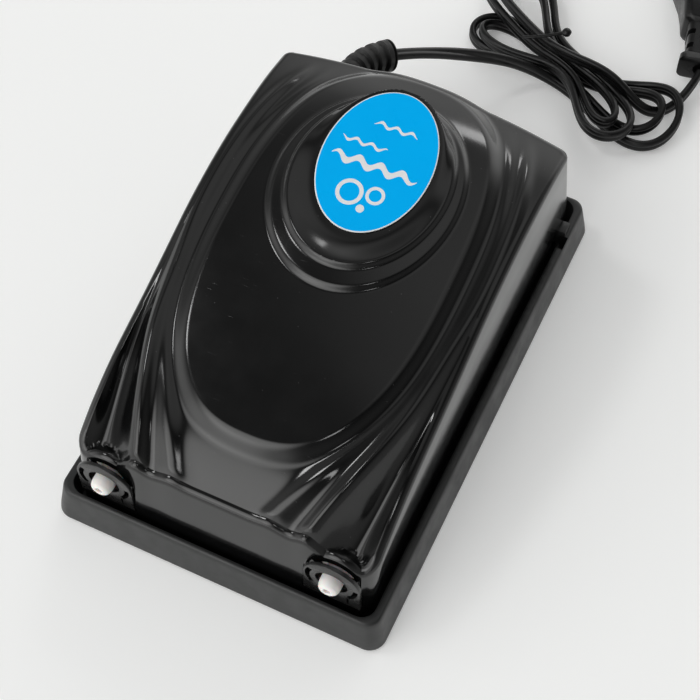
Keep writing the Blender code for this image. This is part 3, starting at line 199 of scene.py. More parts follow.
# ---------------------------------------------------------------- shader helpers
class Shader:
    """Short way to build one node material round a Principled shader."""

    def __init__(self, name):
        self.material = bpy.data.materials.new(name)
        self.material.use_nodes = True
        self.tree = self.material.node_tree
        self.principled = self.tree.nodes["Principled BSDF"]
        self.place = self.node("TexCoord").outputs["Object"]

    def node(self, kind, **settings):
        node = self.tree.nodes.new("ShaderNode" + kind)
        for key, value in settings.items():
            setattr(node, key, value)
        return node

    def feed(self, socket, value):
        if isinstance(value, bpy.types.NodeSocket):
            self.tree.links.new(value, socket)
        else:
            socket.default_value = value

    def set(self, **values):
        for key, value in values.items():
            self.feed(self.principled.inputs[key.replace("_", " ")], value)

    def stretched(self, scale, turn=(0, 0, 0)):
        """Coordinates in metres, turned and then multiplied by a scale per axis."""
        mapping = self.node("Mapping")
        mapping.inputs["Rotation"].default_value = [math.radians(a) for a in turn]
        mapping.inputs["Scale"].default_value = scale
        self.feed(mapping.inputs["Vector"], self.place)
        return mapping.outputs[0]

    def noise(self, size, detail=3.0, rough=0.55, vector=None):
        """Noise whose blobs are about size millimetres, or one unit of a given vector."""
        node = self.node("TexNoise")
        self.feed(node.inputs["Vector"], vector or self.place)
        node.inputs["Scale"].default_value = 1.0 if vector else 1 / (size * MM)
        node.inputs["Detail"].default_value = detail
        node.inputs["Roughness"].default_value = rough
        return node.outputs["Fac"]

    def cells(self, size, feature="F1"):
        node = self.node("TexVoronoi", feature=feature)
        self.feed(node.inputs["Vector"], self.place)
        node.inputs["Scale"].default_value = 1 / (size * MM)
        return node.outputs["Distance"]

    def spread(self, value, low, high, to_low=0.0, to_high=1.0):
        """Map low..high to to_low..to_high, clamped and eased."""
        node = self.node("MapRange", interpolation_type="SMOOTHSTEP")
        for index, item in enumerate((value, low, high, to_low, to_high)):
            self.feed(node.inputs[index], item)
        return node.outputs[0]

    def maths(self, operation, a, b=0.0):
        node = self.node("Math", operation=operation)
        self.feed(node.inputs[0], a)
        self.feed(node.inputs[1], b)
        return node.outputs[0]

    def mix(self, share, a, b):
        node = self.node("Mix", data_type="RGBA")
        self.feed(node.inputs["Factor"], share)
        for socket, colour in ((node.inputs[6], a), (node.inputs[7], b)):
            self.feed(socket, (*colour, 1.0) if isinstance(colour, tuple) else colour)
        return node.outputs[2]

    def bump(self, height, depth, strength=1.0, below=None):
        """Normal from a 0..1 height that stands depth millimetres high."""
        node = self.node("Bump")
        node.inputs["Strength"].default_value = strength
        node.inputs["Distance"].default_value = depth * MM
        self.feed(node.inputs["Height"], height)
        if below:
            self.feed(node.inputs["Normal"], below)
        return node.outputs[0]

    def streaks(self, turn, length, width, share):
        """Fine scratches that run one way: long thin noise, cut to its highest parts."""
        vector = self.stretched((1 / (length * MM), 1 / (width * MM), 1 / (length * MM)), turn)
        return self.spread(self.noise(1, 2.0, 0.6, vector), share, share + 0.05)

    def edge_wear(self, amount):
        """1 on worn convex edges."""
        point = self.node("NewGeometry").outputs["Pointiness"]
        worn = self.spread(point, 0.53, 0.60)
        return self.maths("MULTIPLY", worn, self.spread(self.noise(2.0), 0.4, 0.7, 0, amount))


def gloss_black():
    """Polished black styrene: soft mottling in the gloss, dust specks and hairline scratches."""
    s = Shader("gloss_black_plastic")
    scratches = s.maths("MAXIMUM", s.streaks((0, 0, 28), 9, 0.16, 0.735),
                        s.streaks((0, 0, -52), 6, 0.13, 0.745))
    patches = s.spread(s.noise(26), 0.47, 0.62)
    scratches = s.maths("MULTIPLY", scratches, patches)
    specks = s.spread(s.cells(3.1), 0.055, 0.03)
    marks = s.maths("MAXIMUM", s.maths("MULTIPLY", scratches, 0.5),
                    s.maths("MULTIPLY", specks, 0.35))
    base = s.mix(s.noise(18), (0.002, 0.0021, 0.0022), (0.004, 0.0041, 0.0042))
    s.set(Base_Color=s.mix(marks, base, (0.09, 0.09, 0.092)),
          Roughness=s.maths("ADD", s.spread(s.noise(9, 5), 0.3, 0.7, 0.1, 0.135),
                            s.maths("MULTIPLY", marks, 0.3)),
          Normal=s.bump(scratches, 0.01, 0.25, s.bump(s.noise(0.8), 0.002, 0.4)),
          IOR=1.53)
    return s.material


def satin_black(name, colour, rough, grain, grain_depth):
    """Moulded black plastic with a fine spark-eroded grain and slightly worn edges."""
    s = Shader(name)
    tone = s.mix(s.noise(14), colour, tuple(1.7 * c for c in colour))
    lifted = tuple(5 * c for c in colour)
    s.set(Base_Color=s.mix(s.edge_wear(0.5), tone, lifted),
          Roughness=s.spread(s.noise(5, 4), 0.3, 0.7, rough - 0.05, rough + 0.07),
          Normal=s.bump(s.noise(grain, 2), grain_depth, 0.6))
    return s.material


def rubber_black():
    s = Shader("black_rubber")
    dust = s.spread(s.noise(3, 6), 0.5, 0.8, 0.0, 0.35)
    s.set(Base_Color=s.mix(dust, (0.009, 0.009, 0.009), (0.035, 0.034, 0.033)),
          Roughness=s.spread(s.noise(2), 0.3, 0.7, 0.42, 0.6),
          Normal=s.bump(s.noise(0.35), 0.02, 0.5))
    return s.material


def cord_pvc():
    """Soft black PVC: satin, with a faint drawn grain."""
    s = Shader("cord_black")
    s.set(Base_Color=s.mix(s.noise(7), (0.0015, 0.0015, 0.0017), (0.005, 0.005, 0.0052)),
          Roughness=s.spread(s.noise(1.6, 4), 0.3, 0.7, 0.27, 0.37),
          Specular_IOR_Level=0.32,
          Normal=s.bump(s.noise(0.5, 2), 0.012, 0.5))
    return s.material


def label_ink(name, colour, deeper):
    """Printed film: a slight drift in the ink, a fine screen and satin lacquer."""
    s = Shader(name)
    ink = s.mix(s.noise(9, 3), colour, deeper)
    s.set(Base_Color=ink,
          Roughness=s.spread(s.noise(4), 0.3, 0.7, 0.27, 0.36),
          Normal=s.bump(s.noise(0.3, 1), 0.003, 0.4))
    s.set(Specular_IOR_Level=0.05)
    return s.material


def paper_white():
    s = Shader("label_white")
    s.set(Base_Color=s.mix(s.noise(1.5), (0.86, 0.87, 0.88), (0.78, 0.8, 0.81)),
          Roughness=s.spread(s.noise(0.6), 0.3, 0.7, 0.35, 0.45),
          Normal=s.bump(s.noise(0.2), 0.004, 0.3))
    return s.material


def nozzle_white():
    """Natural white nylon: slightly translucent, faintly yellow, soft sheen."""
    s = Shader("nozzle_white")
    s.set(Base_Color=s.mix(s.noise(2.2), (0.88, 0.87, 0.85), (0.8, 0.79, 0.76)),
          Roughness=s.spread(s.noise(1.1, 4), 0.3, 0.7, 0.3, 0.42),
          Normal=s.bump(s.noise(0.4), 0.006, 0.5))
    s.set(Subsurface_Weight=0.25, Subsurface_Scale=0.0012)
    return s.material


def metal(name, colour, rough, grain=0.5):
    """Plated or rolled metal with fine brushing, dull spots and edge wear."""
    s = Shader(name)
    dull = s.spread(s.noise(2.5, 5), 0.45, 0.75)
    brushed = s.noise(1, 3, 0.6, s.stretched((3000, 400, 3000), (10, 20, 0)))
    s.set(Base_Color=s.mix(dull, colour, tuple(0.72 * c for c in colour)),
          Metallic=1.0,
          Roughness=s.spread(brushed, 0.3, 0.7, rough - 0.07, rough + 0.1),
          Normal=s.bump(brushed, 0.006, grain))
    return s.material


def nylon_body():
    s = Shader("white_nylon")
    s.set(Base_Color=s.mix(s.noise(6), (0.72, 0.71, 0.67), (0.64, 0.62, 0.57)),
          Roughness=s.spread(s.noise(2), 0.3, 0.7, 0.42, 0.55),
          Normal=s.bump(s.noise(0.5), 0.012, 0.5))
    s.set(Subsurface_Weight=0.1, Subsurface_Scale=0.001)
    return s.material


def silicone_clear():
    s = Shader("clear_silicone")
    s.set(Base_Color=s.mix(s.noise(4), (0.74, 0.76, 0.76), (0.66, 0.69, 0.69)),
          Roughness=s.spread(s.noise(2), 0.3, 0.7, 0.25, 0.4),
          Normal=s.bump(s.noise(1.2), 0.01, 0.5))
    s.set(Transmission_Weight=0.35, IOR=1.41)
    return s.material


def copper_winding():
    """Enamelled copper: the turns of wire lie round the X axis, 0.32 mm apart."""
    s = Shader("enamelled_copper")
    wave = s.node("TexWave", wave_type="BANDS", bands_direction="X")
    s.feed(wave.inputs["Vector"], s.place)
    wave.inputs["Scale"].default_value = 1000 / 0.32 / 20
    wave.inputs["Distortion"].default_value = 0.6
    turns = wave.outputs["Fac"]
    s.set(Base_Color=s.mix(turns, (0.22, 0.06, 0.02), (0.72, 0.27, 0.1)),
          Metallic=0.9,
          Roughness=s.spread(s.noise(1.0), 0.3, 0.7, 0.2, 0.34),
          Normal=s.bump(turns, 0.12, 0.9))
    return s.material


def core_steel():
    """Stacked electrical steel: sheets 0.5 mm thick, seen as fine lines with rust tints."""
    s = Shader("core_steel")
    wave = s.node("TexWave", wave_type="BANDS", bands_direction="Z")
    s.feed(wave.inputs["Vector"], s.place)
    wave.inputs["Scale"].default_value = 1000 / 0.5 / 20
    wave.inputs["Distortion"].default_value = 0.2
    sheets = wave.outputs["Fac"]
    tint = s.spread(s.noise(3, 6), 0.5, 0.75)
    steel = s.mix(sheets, (0.12, 0.12, 0.13), (0.36, 0.36, 0.37))
    s.set(Base_Color=s.mix(tint, steel, (0.2, 0.12, 0.08)),
          Metallic=0.9,
          Roughness=s.spread(s.noise(1.4), 0.3, 0.7, 0.35, 0.55),
          Normal=s.bump(sheets, 0.08, 0.8))
    return s.material


def felt():
    s = Shader("filter_felt")
    fibre = s.noise(0.25, 6, 0.7)
    s.set(Base_Color=s.mix(fibre, (0.5, 0.5, 0.46), (0.8, 0.8, 0.76)),
          Roughness=s.spread(fibre, 0.3, 0.7, 0.85, 1.0),
          Normal=s.bump(fibre, 0.2, 1.0))
    s.set(Sheen_Weight=0.4)
    return s.material


def coloured_lead(name, colour):
    s = Shader(name)
    s.set(Base_Color=s.mix(s.noise(3), colour, tuple(0.7 * c for c in colour)),
          Roughness=s.spread(s.noise(1.5), 0.3, 0.7, 0.32, 0.45),
          Normal=s.bump(s.noise(0.4), 0.008, 0.5))
    return s.material


def floor_white():
    s = Shader("studio_floor")
    s.set(Base_Color=s.mix(s.noise(120), (0.90, 0.905, 0.90), (0.87, 0.875, 0.87)),
          Roughness=s.spread(s.noise(60), 0.3, 0.7, 0.5, 0.6),
          Normal=s.bump(s.noise(1.5), 0.01, 0.3),
          Emission_Color=(1.0, 1.0, 1.0, 1.0), Emission_Strength=FLOOR_GLOW)
    return s.material


MATERIALS = {
    "gloss_black_plastic": gloss_black(),
    "matte_grey_plastic": satin_black("matte_grey_plastic", (0.011, 0.0115, 0.0115), 0.4,
                                      0.45, 0.02),
    "bezel_black": satin_black("bezel_black", (0.006, 0.006, 0.006), 0.26, 0.5, 0.006),
    "label_blue": label_ink("label_blue", (0.0, 0.47, 1.0), (0.0, 0.43, 0.95)),
    "label_white": paper_white(),
    "nozzle_white": nozzle_white(),
    "black_rubber": rubber_black(),
    "cord_black": cord_pvc(),
    "clear_silicone": silicone_clear(),
    "zinc_plated_steel": metal("zinc_plated_steel", (0.62, 0.63, 0.64), 0.33),
    "core_steel": core_steel(),
    "enamelled_copper": copper_winding(),
    "white_nylon": nylon_body(),
    "ferrite_magnet": satin_black("ferrite_magnet", (0.045, 0.045, 0.05), 0.5, 0.3, 0.02),
    "filter_felt": felt(),
    "nickel_plated_brass": metal("nickel_plated_brass", (0.72, 0.7, 0.66), 0.2, 0.3),
    "lead_blue": coloured_lead("lead_blue", (0.03, 0.09, 0.4)),
    "lead_brown": coloured_lead("lead_brown", (0.2, 0.09, 0.04)),
}


# ---------------------------------------------------------------- mesh helpers
def point(x, y, z):
    return Vector((x, y, z)) * MM


def smoothstep(low, high, value):
    t = min(max((value - low) / (high - low), 0.0), 1.0)
    return t * t * (3 - 2 * t)


def add_object(name, mesh, material=None):
    obj = bpy.data.objects.new(name, mesh)
    bpy.context.scene.collection.objects.link(obj)
    if material:
        mesh.materials.clear()
        mesh.materials.append(MATERIALS[material])
    return obj


def from_bmesh(name, bm, material=None, smooth=True):
    bmesh.ops.recalc_face_normals(bm, faces=bm.faces)
    if bm.calc_volume(signed=True) < 0:
        bmesh.ops.reverse_faces(bm, faces=bm.faces)
    mesh = bpy.data.meshes.new(name)
    bm.to_mesh(mesh)
    bm.free()
    if smooth:
        shade(mesh)
    return add_object(name, mesh, material)


def shade(mesh, angle=33):
    mesh.shade_smooth()
    mesh.set_sharp_from_angle(angle=math.radians(angle))


def box_tool(low, high, bevel=0.0, segments=1):
    low, high = Vector(low), Vector(high)
    bm = bmesh.new()
    bmesh.ops.create_cube(bm, size=1.0)
    bmesh.ops.scale(bm, vec=(high - low) * MM, verts=bm.verts)
    if bevel:
        bmesh.ops.bevel(bm, geom=bm.edges, offset=bevel * MM, segments=segments, profile=0.5,
                        affect="EDGES")
    bmesh.ops.translate(bm, vec=(low + high) * 0.5 * MM, verts=bm.verts)
    return from_bmesh("tool", bm, smooth=False)


AXIS_TURN = {"Z": Matrix.Identity(4),
             "X": Matrix.Rotation(math.pi / 2, 4, "Y"),
             "Y": Matrix.Rotation(-math.pi / 2, 4, "X")}


def cylinder_tool(centre, axis, radius, length, sides=48):
    bm = bmesh.new()
    bmesh.ops.create_cone(bm, cap_ends=True, segments=sides, radius1=radius * MM,
                          radius2=radius * MM, depth=length * MM)
    bm.transform(Matrix.Translation(point(*centre)) @ AXIS_TURN[axis])
    return from_bmesh("tool", bm, smooth=False)


def circle(radius, centre=(0.0, 0.0), sides=32, start=0.0, end=360.0):
    """Points of an arc, or of a full circle without its repeated last point."""
    full = abs(end - start) >= 360.0
    count = sides if full else sides + 1
    angles = [math.radians(start + (end - start) * i / sides) for i in range(count)]
    return [(centre[0] + radius * math.cos(a), centre[1] + radius * math.sin(a))
            for a in angles]


def rounded_rectangle(half_x, half_y, radius, segments=10):
    points = []
    for sx, sy, start in ((1, 1, 0), (-1, 1, 90), (-1, -1, 180), (1, -1, 270)):
        centre = (sx * (half_x - radius), sy * (half_y - radius))
        points += circle(radius, centre, segments, start, start + 90)
    return points


def loft(name, rings, material=None, closed=False, smooth=True):
    """Skin over rings of equal counts, capped at both ends, or closed into a loop."""
    bm = bmesh.new()
    loops = [[bm.verts.new(Vector(p) * MM) for p in ring] for ring in rings]
    pairs = list(zip(loops, loops[1:]))
    if closed:
        pairs.append((loops[-1], loops[0]))
    for near, far in pairs:
        for i in range(len(near)):
            j = (i + 1) % len(near)
            bm.faces.new((near[i], near[j], far[j], far[i]))
    if not closed:
        bm.faces.new(loops[0])
        bm.faces.new(loops[-1])
    return from_bmesh(name, bm, material, smooth)


def turned(name, profile, matrix, material, steps=48):
    """Turned shape about local Z: an open (radius, height) profile that starts and ends on
    the axis, or a closed one for a ring."""
    bm = bmesh.new()
    verts = [bm.verts.new((r * MM, 0, h * MM)) for r, h in profile]
    edges = [bm.edges.new(pair) for pair in zip(verts, verts[1:])]
    if profile[0][0] > 0:
        edges.append(bm.edges.new((verts[-1], verts[0])))
    bmesh.ops.spin(bm, geom=verts + edges, axis=(0, 0, 1), cent=(0, 0, 0), steps=steps,
                   angle=2 * math.pi, use_merge=True)
    bmesh.ops.remove_doubles(bm, verts=bm.verts, dist=0.000001)
    bm.transform(matrix)
    return from_bmesh(name, bm, material)


def softened(profile, radius, segments=3):
    """A profile with its inner corners rounded, as straight cuts across a small arc."""
    result = [profile[0]]
    for before, here, after in zip(profile, profile[1:], profile[2:]):
        a, h, b = Vector(before), Vector(here), Vector(after)
        reach = min(radius, (a - h).length * 0.45, (b - h).length * 0.45)
        start, end = h + (a - h).normalized() * reach, h + (b - h).normalized() * reach
        for i in range(segments + 1):
            t = i / segments
            result.append(tuple(start * (1 - t) ** 2 + h * 2 * t * (1 - t) + end * t * t))
    result.append(profile[-1])
    return result


def plate(name, outlines, thickness, matrix, material=None, bevel=0.0):
    """Flat piece: 2D outlines (first the edge, then holes), extruded to a thickness."""
    curve = bpy.data.curves.new(name + "_outline", "CURVE")
    curve.dimensions = "2D"
    curve.fill_mode = "BOTH"
    curve.extrude = (thickness * 0.5 - bevel) * MM
    curve.bevel_depth = bevel * MM
    curve.bevel_resolution = 2
    curve.offset = -bevel * MM
    for outline in outlines:
        spline = curve.splines.new("POLY")
        spline.points.add(len(outline) - 1)
        for item, (x, y) in zip(spline.points, outline):
            item.co = (x * MM, y * MM, 0, 1)
        spline.use_cyclic_u = True
    source = bpy.data.objects.new(name + "_outline", curve)
    bpy.context.scene.collection.objects.link(source)
    bpy.context.view_layer.update()
    evaluated = source.evaluated_get(bpy.context.evaluated_depsgraph_get())
    mesh = bpy.data.meshes.new_from_object(evaluated)
    bm = bmesh.new()
    bm.from_mesh(mesh)
    bmesh.ops.remove_doubles(bm, verts=bm.verts, dist=0.000002)
    bm.transform(matrix)
    bpy.data.objects.remove(source, do_unlink=True)
    bpy.data.meshes.remove(mesh)
    return from_bmesh(name, bm, material)


def combine(obj, operation, *tools, solver="EXACT"):
    """Boolean with each tool in turn; the tools are used up and the result is applied."""
    for tool in tools:
        modifier = obj.modifiers.new(tool.name, "BOOLEAN")
        modifier.operation = operation
        modifier.object = tool
        modifier.solver = solver
    apply_modifiers(obj)
    for tool in tools:
        bpy.data.objects.remove(tool, do_unlink=True)


def apply_modifiers(obj):
    bpy.context.view_layer.update()
    evaluated = obj.evaluated_get(bpy.context.evaluated_depsgraph_get())
    mesh = bpy.data.meshes.new_from_object(evaluated)
    old = obj.data
    obj.modifiers.clear()
    obj.data = mesh
    bpy.data.meshes.remove(old)


def through(stations, at):
    """Smooth curve through (position, value) stations."""
    xs = [s[0] for s in stations]
    values = [s[1] for s in stations]
    last = len(xs) - 1
    at = min(max(at, xs[0]), xs[-1])
    i = max(k for k in range(last) if xs[k] <= at)
    step = xs[i + 1] - xs[i]

    def slope(k):
        low, high = max(k - 1, 0), min(k + 1, last)
        return (values[high] - values[low]) / (xs[high] - xs[low])

    t = (at - xs[i]) / step
    return (values[i] * (2 * t ** 3 - 3 * t ** 2 + 1) + slope(i) * step * (t ** 3 - 2 * t ** 2 + t)
            + values[i + 1] * (3 * t ** 2 - 2 * t ** 3)
            + slope(i + 1) * step * (t ** 3 - t ** 2))


def bezier(a, b, c, count):
    a, b, c = Vector(a), Vector(b), Vector(c)
    steps = [i / (count - 1) for i in range(count)]
    return [a * (1 - t) ** 2 + b * 2 * t * (1 - t) + c * t * t for t in steps]


def hermite(a, slope_a, b, slope_b, count):
    a, b, slope_a, slope_b = map(Vector, (a, b, slope_a, slope_b))
    points = []
    for i in range(count):
        t = i / (count - 1)
        points.append(a * (2 * t ** 3 - 3 * t ** 2 + 1) + slope_a * (t ** 3 - 2 * t ** 2 + t)
                      + b * (3 * t ** 2 - 2 * t ** 3) + slope_b * (t ** 3 - t ** 2))
    return points


def frames_along(path):
    """Centre, side and up vectors at each point of a path, without twist."""
    points = [Vector(p) for p in path]
    frames = []
    side = Vector((1, 0, 0))
    for i, here in enumerate(points):
        ahead = points[min(i + 1, len(points) - 1)]
        behind = points[max(i - 1, 0)]
        tangent = (ahead - behind).normalized()
        side = (side - tangent * side.dot(tangent)).normalized()
        frames.append((here, side, tangent.cross(side)))
    return frames


def ring_at(frame, outline):
    centre, side, up = frame
    return [centre + side * px + up * py for px, py in outline]


def sleeve(name, path, outer, inner, material, sides=28):
    """Tube along a path with an outer radius per point and one bore radius."""
    frames = frames_along(path)
    skin = [ring_at(frame, circle(radius, sides=sides)) for frame, radius in zip(frames, outer)]
    bore = [ring_at(frame, circle(inner, sides=sides)) for frame in reversed(frames)]
    return loft(name, skin + bore, material, closed=True)


def cord_like(name, path, outline, material):
    """Solid of one section swept along a path, capped at both ends."""
    rings = [ring_at(frame, outline) for frame in frames_along(path)]
    return loft(name, rings, material)


def own(piece, material_slot, *nodes, body="housing"):
    """The piece rides on a body and stands for CAD nodes, which it hides. The material_slot argument is
    not used.
    """
    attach(piece, body)
    if nodes:
        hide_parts(*nodes)
    return piece


# ---------------------------------------------------------------- cover surface
def egg_inset(x, y):
    """Distance inside the egg-shaped plateau's edge; negative outside it."""
    if y > EGG_CENTRE_Y:
        length, along, across = EGG_BACK_LENGTH, 2.8, 2.4
    else:
        length, along, across = EGG_FRONT_LENGTH, 2.5, 2.4

    def level(px, py):
        s = abs(py - EGG_CENTRE_Y) / length
        return ((abs(px) / EGG_HALF_WIDTH) ** across + s ** along) ** (1 / across)

    here = level(x, y)
    d = 0.05
    away = math.copysign(d, y - EGG_CENTRE_Y)
    gradient = math.hypot(level(abs(x) + d, y) - here, level(x, y + away) - here)
    return (1 - here) / max(gradient / d, 1e-4)


def ellipse_inset(shape, x, y):
    """Distance inside an ellipse (centre y, half width, half length); negative outside."""
    centre, half_width, half_length = shape
    u, v = x / half_width, (y - centre) / half_length
    radius = math.hypot(u, v)
    if radius < 1e-6:
        return min(half_width, half_length)
    gradient = math.hypot(u / half_width, v / half_length) / radius
    return (1 - radius) / gradient


def label_plane(y):
    slope = math.tan(math.radians(LABEL_PITCH))
    return LABEL_CENTRE[2] - LABEL_THICKNESS - GAP + slope * (y - LABEL_CENTRE[1])


def fold_relief(x, y):
    """Two rounded folds, and the valley between the outer one and the shoulder. The folds run
    out before the back edge."""
    inner, outer = through(FOLD_INNER, y), through(FOLD_OUTER, y)
    spread = smoothstep(-15, -55, y)
    ends = smoothstep(50, 30, y)
    folds = ends * smoothstep(COVER_FRONT, COVER_FRONT + FRONT_FADE, y)
    ridges = (0.5 + 0.8 * spread) * math.exp(-((x - inner) / (1.6 + 1.6 * spread)) ** 2)
    ridges += (0.9 + 1.7 * spread) * math.exp(-((x - outer) / (1.6 + 0.9 * spread)) ** 2)
    relief = ridges * folds
    reach = (x - outer) / (COVER_X - outer)
    if 0 < reach < 1:
        relief -= through(VALLEY_DEPTH, y) * ends * math.sin(math.pi * reach ** 1.3) ** 2
    return relief


def boss_height(x, y, ground):
    """Stepped oval boss that rises to the label's sloping seat."""
    height = ground
    edge = ellipse_inset(BOSS_OUTER, x, y)
    inside = ellipse_inset(BOSS_INNER, x, y)
    height += 0.75 * BOSS_STEP * smoothstep(-0.8, 0.8, edge)
    height += BOSS_SLOPE * min(max(edge, 0.0) / (max(edge, 0.0) + max(-inside, 0.0) + 0.01), 1.0)
    height += 0.9 * BOSS_STEP * smoothstep(-0.7, 0.7, inside)
    if inside <= 0:
        return height
    outside = max(-ellipse_inset(BOSS_TOP, x, y), 0.0)
    rise = smoothstep(0, 1, inside / (inside + outside))
    return height * (1 - rise) + label_plane(y) * rise


def dome_height(x, y):
    """Half-round housing over the outlet, with a rounded back end."""
    across = x - OUTLET_X
    along = max(y - DOME_CENTRE_Y, 0.0) * DOME_RADIUS / DOME_REACH
    left = DOME_RADIUS ** 2 - across ** 2 - along ** 2
    return OUTLET_Z + math.sqrt(left) if left > 0 else 0.0


def cover_height(x, y):
    x = abs(x)
    crest, shoulder = through(CREST, y), through(SHOULDER, y)
    height = crest + (shoulder - crest) * (x / COVER_X) ** 2.2
    inset = egg_inset(x, y)
    height += fold_relief(x, y) * smoothstep(0, -EGG_FLANK, inset)
    height += EGG_HEIGHT * smoothstep(-EGG_FLANK, EGG_FLANK, inset)
    if ellipse_inset(BOSS_OUTER, x, y) > -1:
        height = boss_height(x, y, height)
    return max(height, dome_height(x, y))


def roof_rows():
    """Row positions along y of the roof inside its rounded edge, even along the corners."""
    front, back = COVER_FRONT + COVER_EDGE, COVER_BACK - COVER_EDGE
    front_arc, back_arc = CORNER_FRONT - COVER_EDGE, CORNER_BACK - COVER_EDGE
    steps = [math.pi / 2 * i / CORNER_ROWS for i in range(CORNER_ROWS)]
    rows = [front + front_arc * (1 - math.cos(a)) for a in steps]
    start, stop = front + front_arc, back - back_arc
    count = int((stop - start) / COVER_ROW_STEP)
    rows += [start + (stop - start) * i / count for i in range(count + 1)]
    rows += [back - back_arc * (1 - math.cos(a)) for a in reversed(steps)]
    return rows


def corner_reach(y):
    """Half width of the roof inside its rounded edge, and the outward direction there."""
    for edge, radius, sign in ((COVER_FRONT, CORNER_FRONT, 1), (COVER_BACK, CORNER_BACK, -1)):
        arc = radius - COVER_EDGE
        into = arc - ((y - edge) * sign - COVER_EDGE)
        if into > 0:
            across = math.sqrt(max(arc ** 2 - into ** 2, 0))
            return COVER_X - radius + across, Vector((across, -sign * into, 0)) / arc
    return COVER_X - COVER_EDGE, Vector((1, 0, 0))


def back_bow(x, y):
    return COVER_BACK_BOW * smoothstep(20, COVER_BACK, y) * (x / COVER_X) ** 2


def roof_point(u, y):
    x = u * corner_reach(y)[0]
    y -= back_bow(x, y)
    return Vector((x, y, cover_height(x, y)))


def outward_directions(rows):
    """Outward direction at each vertex of the roof's edge, as long as the edge's radius, in
    the order of rim_of."""
    sides = [corner_reach(y)[1] * COVER_EDGE for y in rows[1:-1]]
    front = [Vector((0, -COVER_EDGE, 0))] * (COVER_COLUMNS + 1)
    back = [Vector((0, COVER_EDGE, 0))] * (COVER_COLUMNS + 1)
    left = [Vector((-out.x, out.y, 0)) for out in reversed(sides)]
    return front + sides + back + left


def rim_of(grid):
    """Vertices round a grid: front row, right side, back row, left side."""
    return (grid[0] + [row[-1] for row in grid[1:-1]] + grid[-1][::-1]
            + [row[0] for row in grid[-2:0:-1]])


def roof_points(rows):
    """Right half worked out and mirrored, because the cover is symmetric."""
    half = COVER_COLUMNS // 2
    lines = []
    for y in rows:
        right = [roof_point(i / half, y) for i in range(half + 1)]
        left = [Vector((-p.x, p.y, p.z)) for p in right[:0:-1]]
        lines.append(left + right)
    return lines


def roof_grid(bm, lines, drop):
    down = Vector((0, 0, drop))
    grid = [[bm.verts.new((p - down) * MM) for p in line] for line in lines]
    for near, far in zip(grid, grid[1:]):
        for i in range(COVER_COLUMNS):
            corners = (near[i], near[i + 1], far[i + 1], far[i])
            bm.faces.new(corners if drop == 0 else corners[::-1])
    return grid


def foot_point(top):
    reach = COVER_FOOT_FRONT / COVER_FRONT if top.y < 0 else COVER_FOOT_BACK / COVER_BACK
    return Vector((top.x, (top.y + back_bow(top.x, top.y)) * reach, COVER_FOOT_Z))


def stitch(bm, previous, points):
    """New ring of vertices joined to the one before it."""
    ring = [bm.verts.new(p * MM) for p in points]
    for i in range(len(ring)):
        j = (i + 1) % len(ring)
        bm.faces.new((previous[j], previous[i], ring[i], ring[j]))
    return ring


def cover_shell():
    """Closed shell: roof, rounded edge, outer walls, foot, inner walls and ceiling."""
    rows = roof_rows()
    outward = outward_directions(rows)
    bm = bmesh.new()
    lines = roof_points(rows)
    ring = rim_of(roof_grid(bm, lines, 0))
    starts = [vert.co / MM for vert in ring]
    tops = starts
    for k in range(1, EDGE_RINGS + 1):
        angle = math.pi / 2 * k / EDGE_RINGS
        tops = [p + out * math.sin(angle) - Vector((0, 0, out.length * (1 - math.cos(angle))))
                for p, out in zip(starts, outward)]
        ring = stitch(bm, ring, tops)
    feet = [foot_point(p) for p in tops]
    for share in (0.2, 0.4, 0.6, 0.8, 1.0):
        ring = stitch(bm, ring, [p.lerp(foot, share) for p, foot in zip(tops, feet)])
    feet = [foot - out.normalized() * COVER_THICKNESS for foot, out in zip(feet, outward)]
    ceiling = rim_of(roof_grid(bm, lines, COVER_THICKNESS))
    tops = [vert.co / MM for vert in ceiling]
    for share in (1.0, 0.7, 0.4):
        ring = stitch(bm, ring, [p.lerp(foot, share) for p, foot in zip(tops, feet)])
    for i in range(len(ring)):
        j = (i + 1) % len(ring)
        bm.faces.new((ring[j], ring[i], ceiling[i], ceiling[j]))
    return from_bmesh("pump_cover", bm, "gloss_black_plastic")


def make_cover():
    cover = cover_shell()
    posts = []
    for x, y in POSTS:
        top = min(cover_height(x + dx, y + dy) for dx in (-POST_RADIUS, 0, POST_RADIUS)
                  for dy in (-POST_RADIUS, 0, POST_RADIUS)) - 0.4 * COVER_THICKNESS
        low = TRAY_FLOOR + GAP
        posts.append(cylinder_tool((x, y, (low + top) / 2), "Z", POST_RADIUS, top - low))
    combine(cover, "UNION", *posts, solver="MANIFOLD")
    combine(cover, "DIFFERENCE", *cover_openings(), solver="MANIFOLD")
    shade(cover.data)
    return own(cover, "gloss_black_plastic", "cover")


def cover_openings():
    """Screw holes, outlet seats, lug notches and the cord's hole."""
    tools = [cylinder_tool((x, y, 8.0), "Z", 1.6, 14.0, 24) for x, y in POSTS]
    for _, sign in SIDES:
        tools.append(cylinder_tool((sign * OUTLET_X, -64.1, OUTLET_Z), "Y",
                                   BEZEL_RADIUS + GAP, 5.0, 96))
        half = BEZEL_RADIUS + GAP
        tools.append(box_tool((sign * OUTLET_X - half, -66.1, OUTLET_Z - BEZEL_SKIRT - GAP),
                              (sign * OUTLET_X + half, -61.6, OUTLET_Z)))
        tools.append(cylinder_tool((sign * OUTLET_X, -60.5, OUTLET_Z), "Y", OUTLET_BORE,
                                   8.0, 64))
        x_in, x_out = sorted((sign * (COVER_X - 3.5), sign * (COVER_X + 1.5)))
        tools.append(box_tool((x_in, LUG_Y[0] - 4.0, 6.8), (x_out, LUG_Y[1] + GAP, 14.6)))
    tools.append(cylinder_tool(BOOT_WALL, "Y", BOOT_RADIUS - 0.9, 16.0))
    return tools


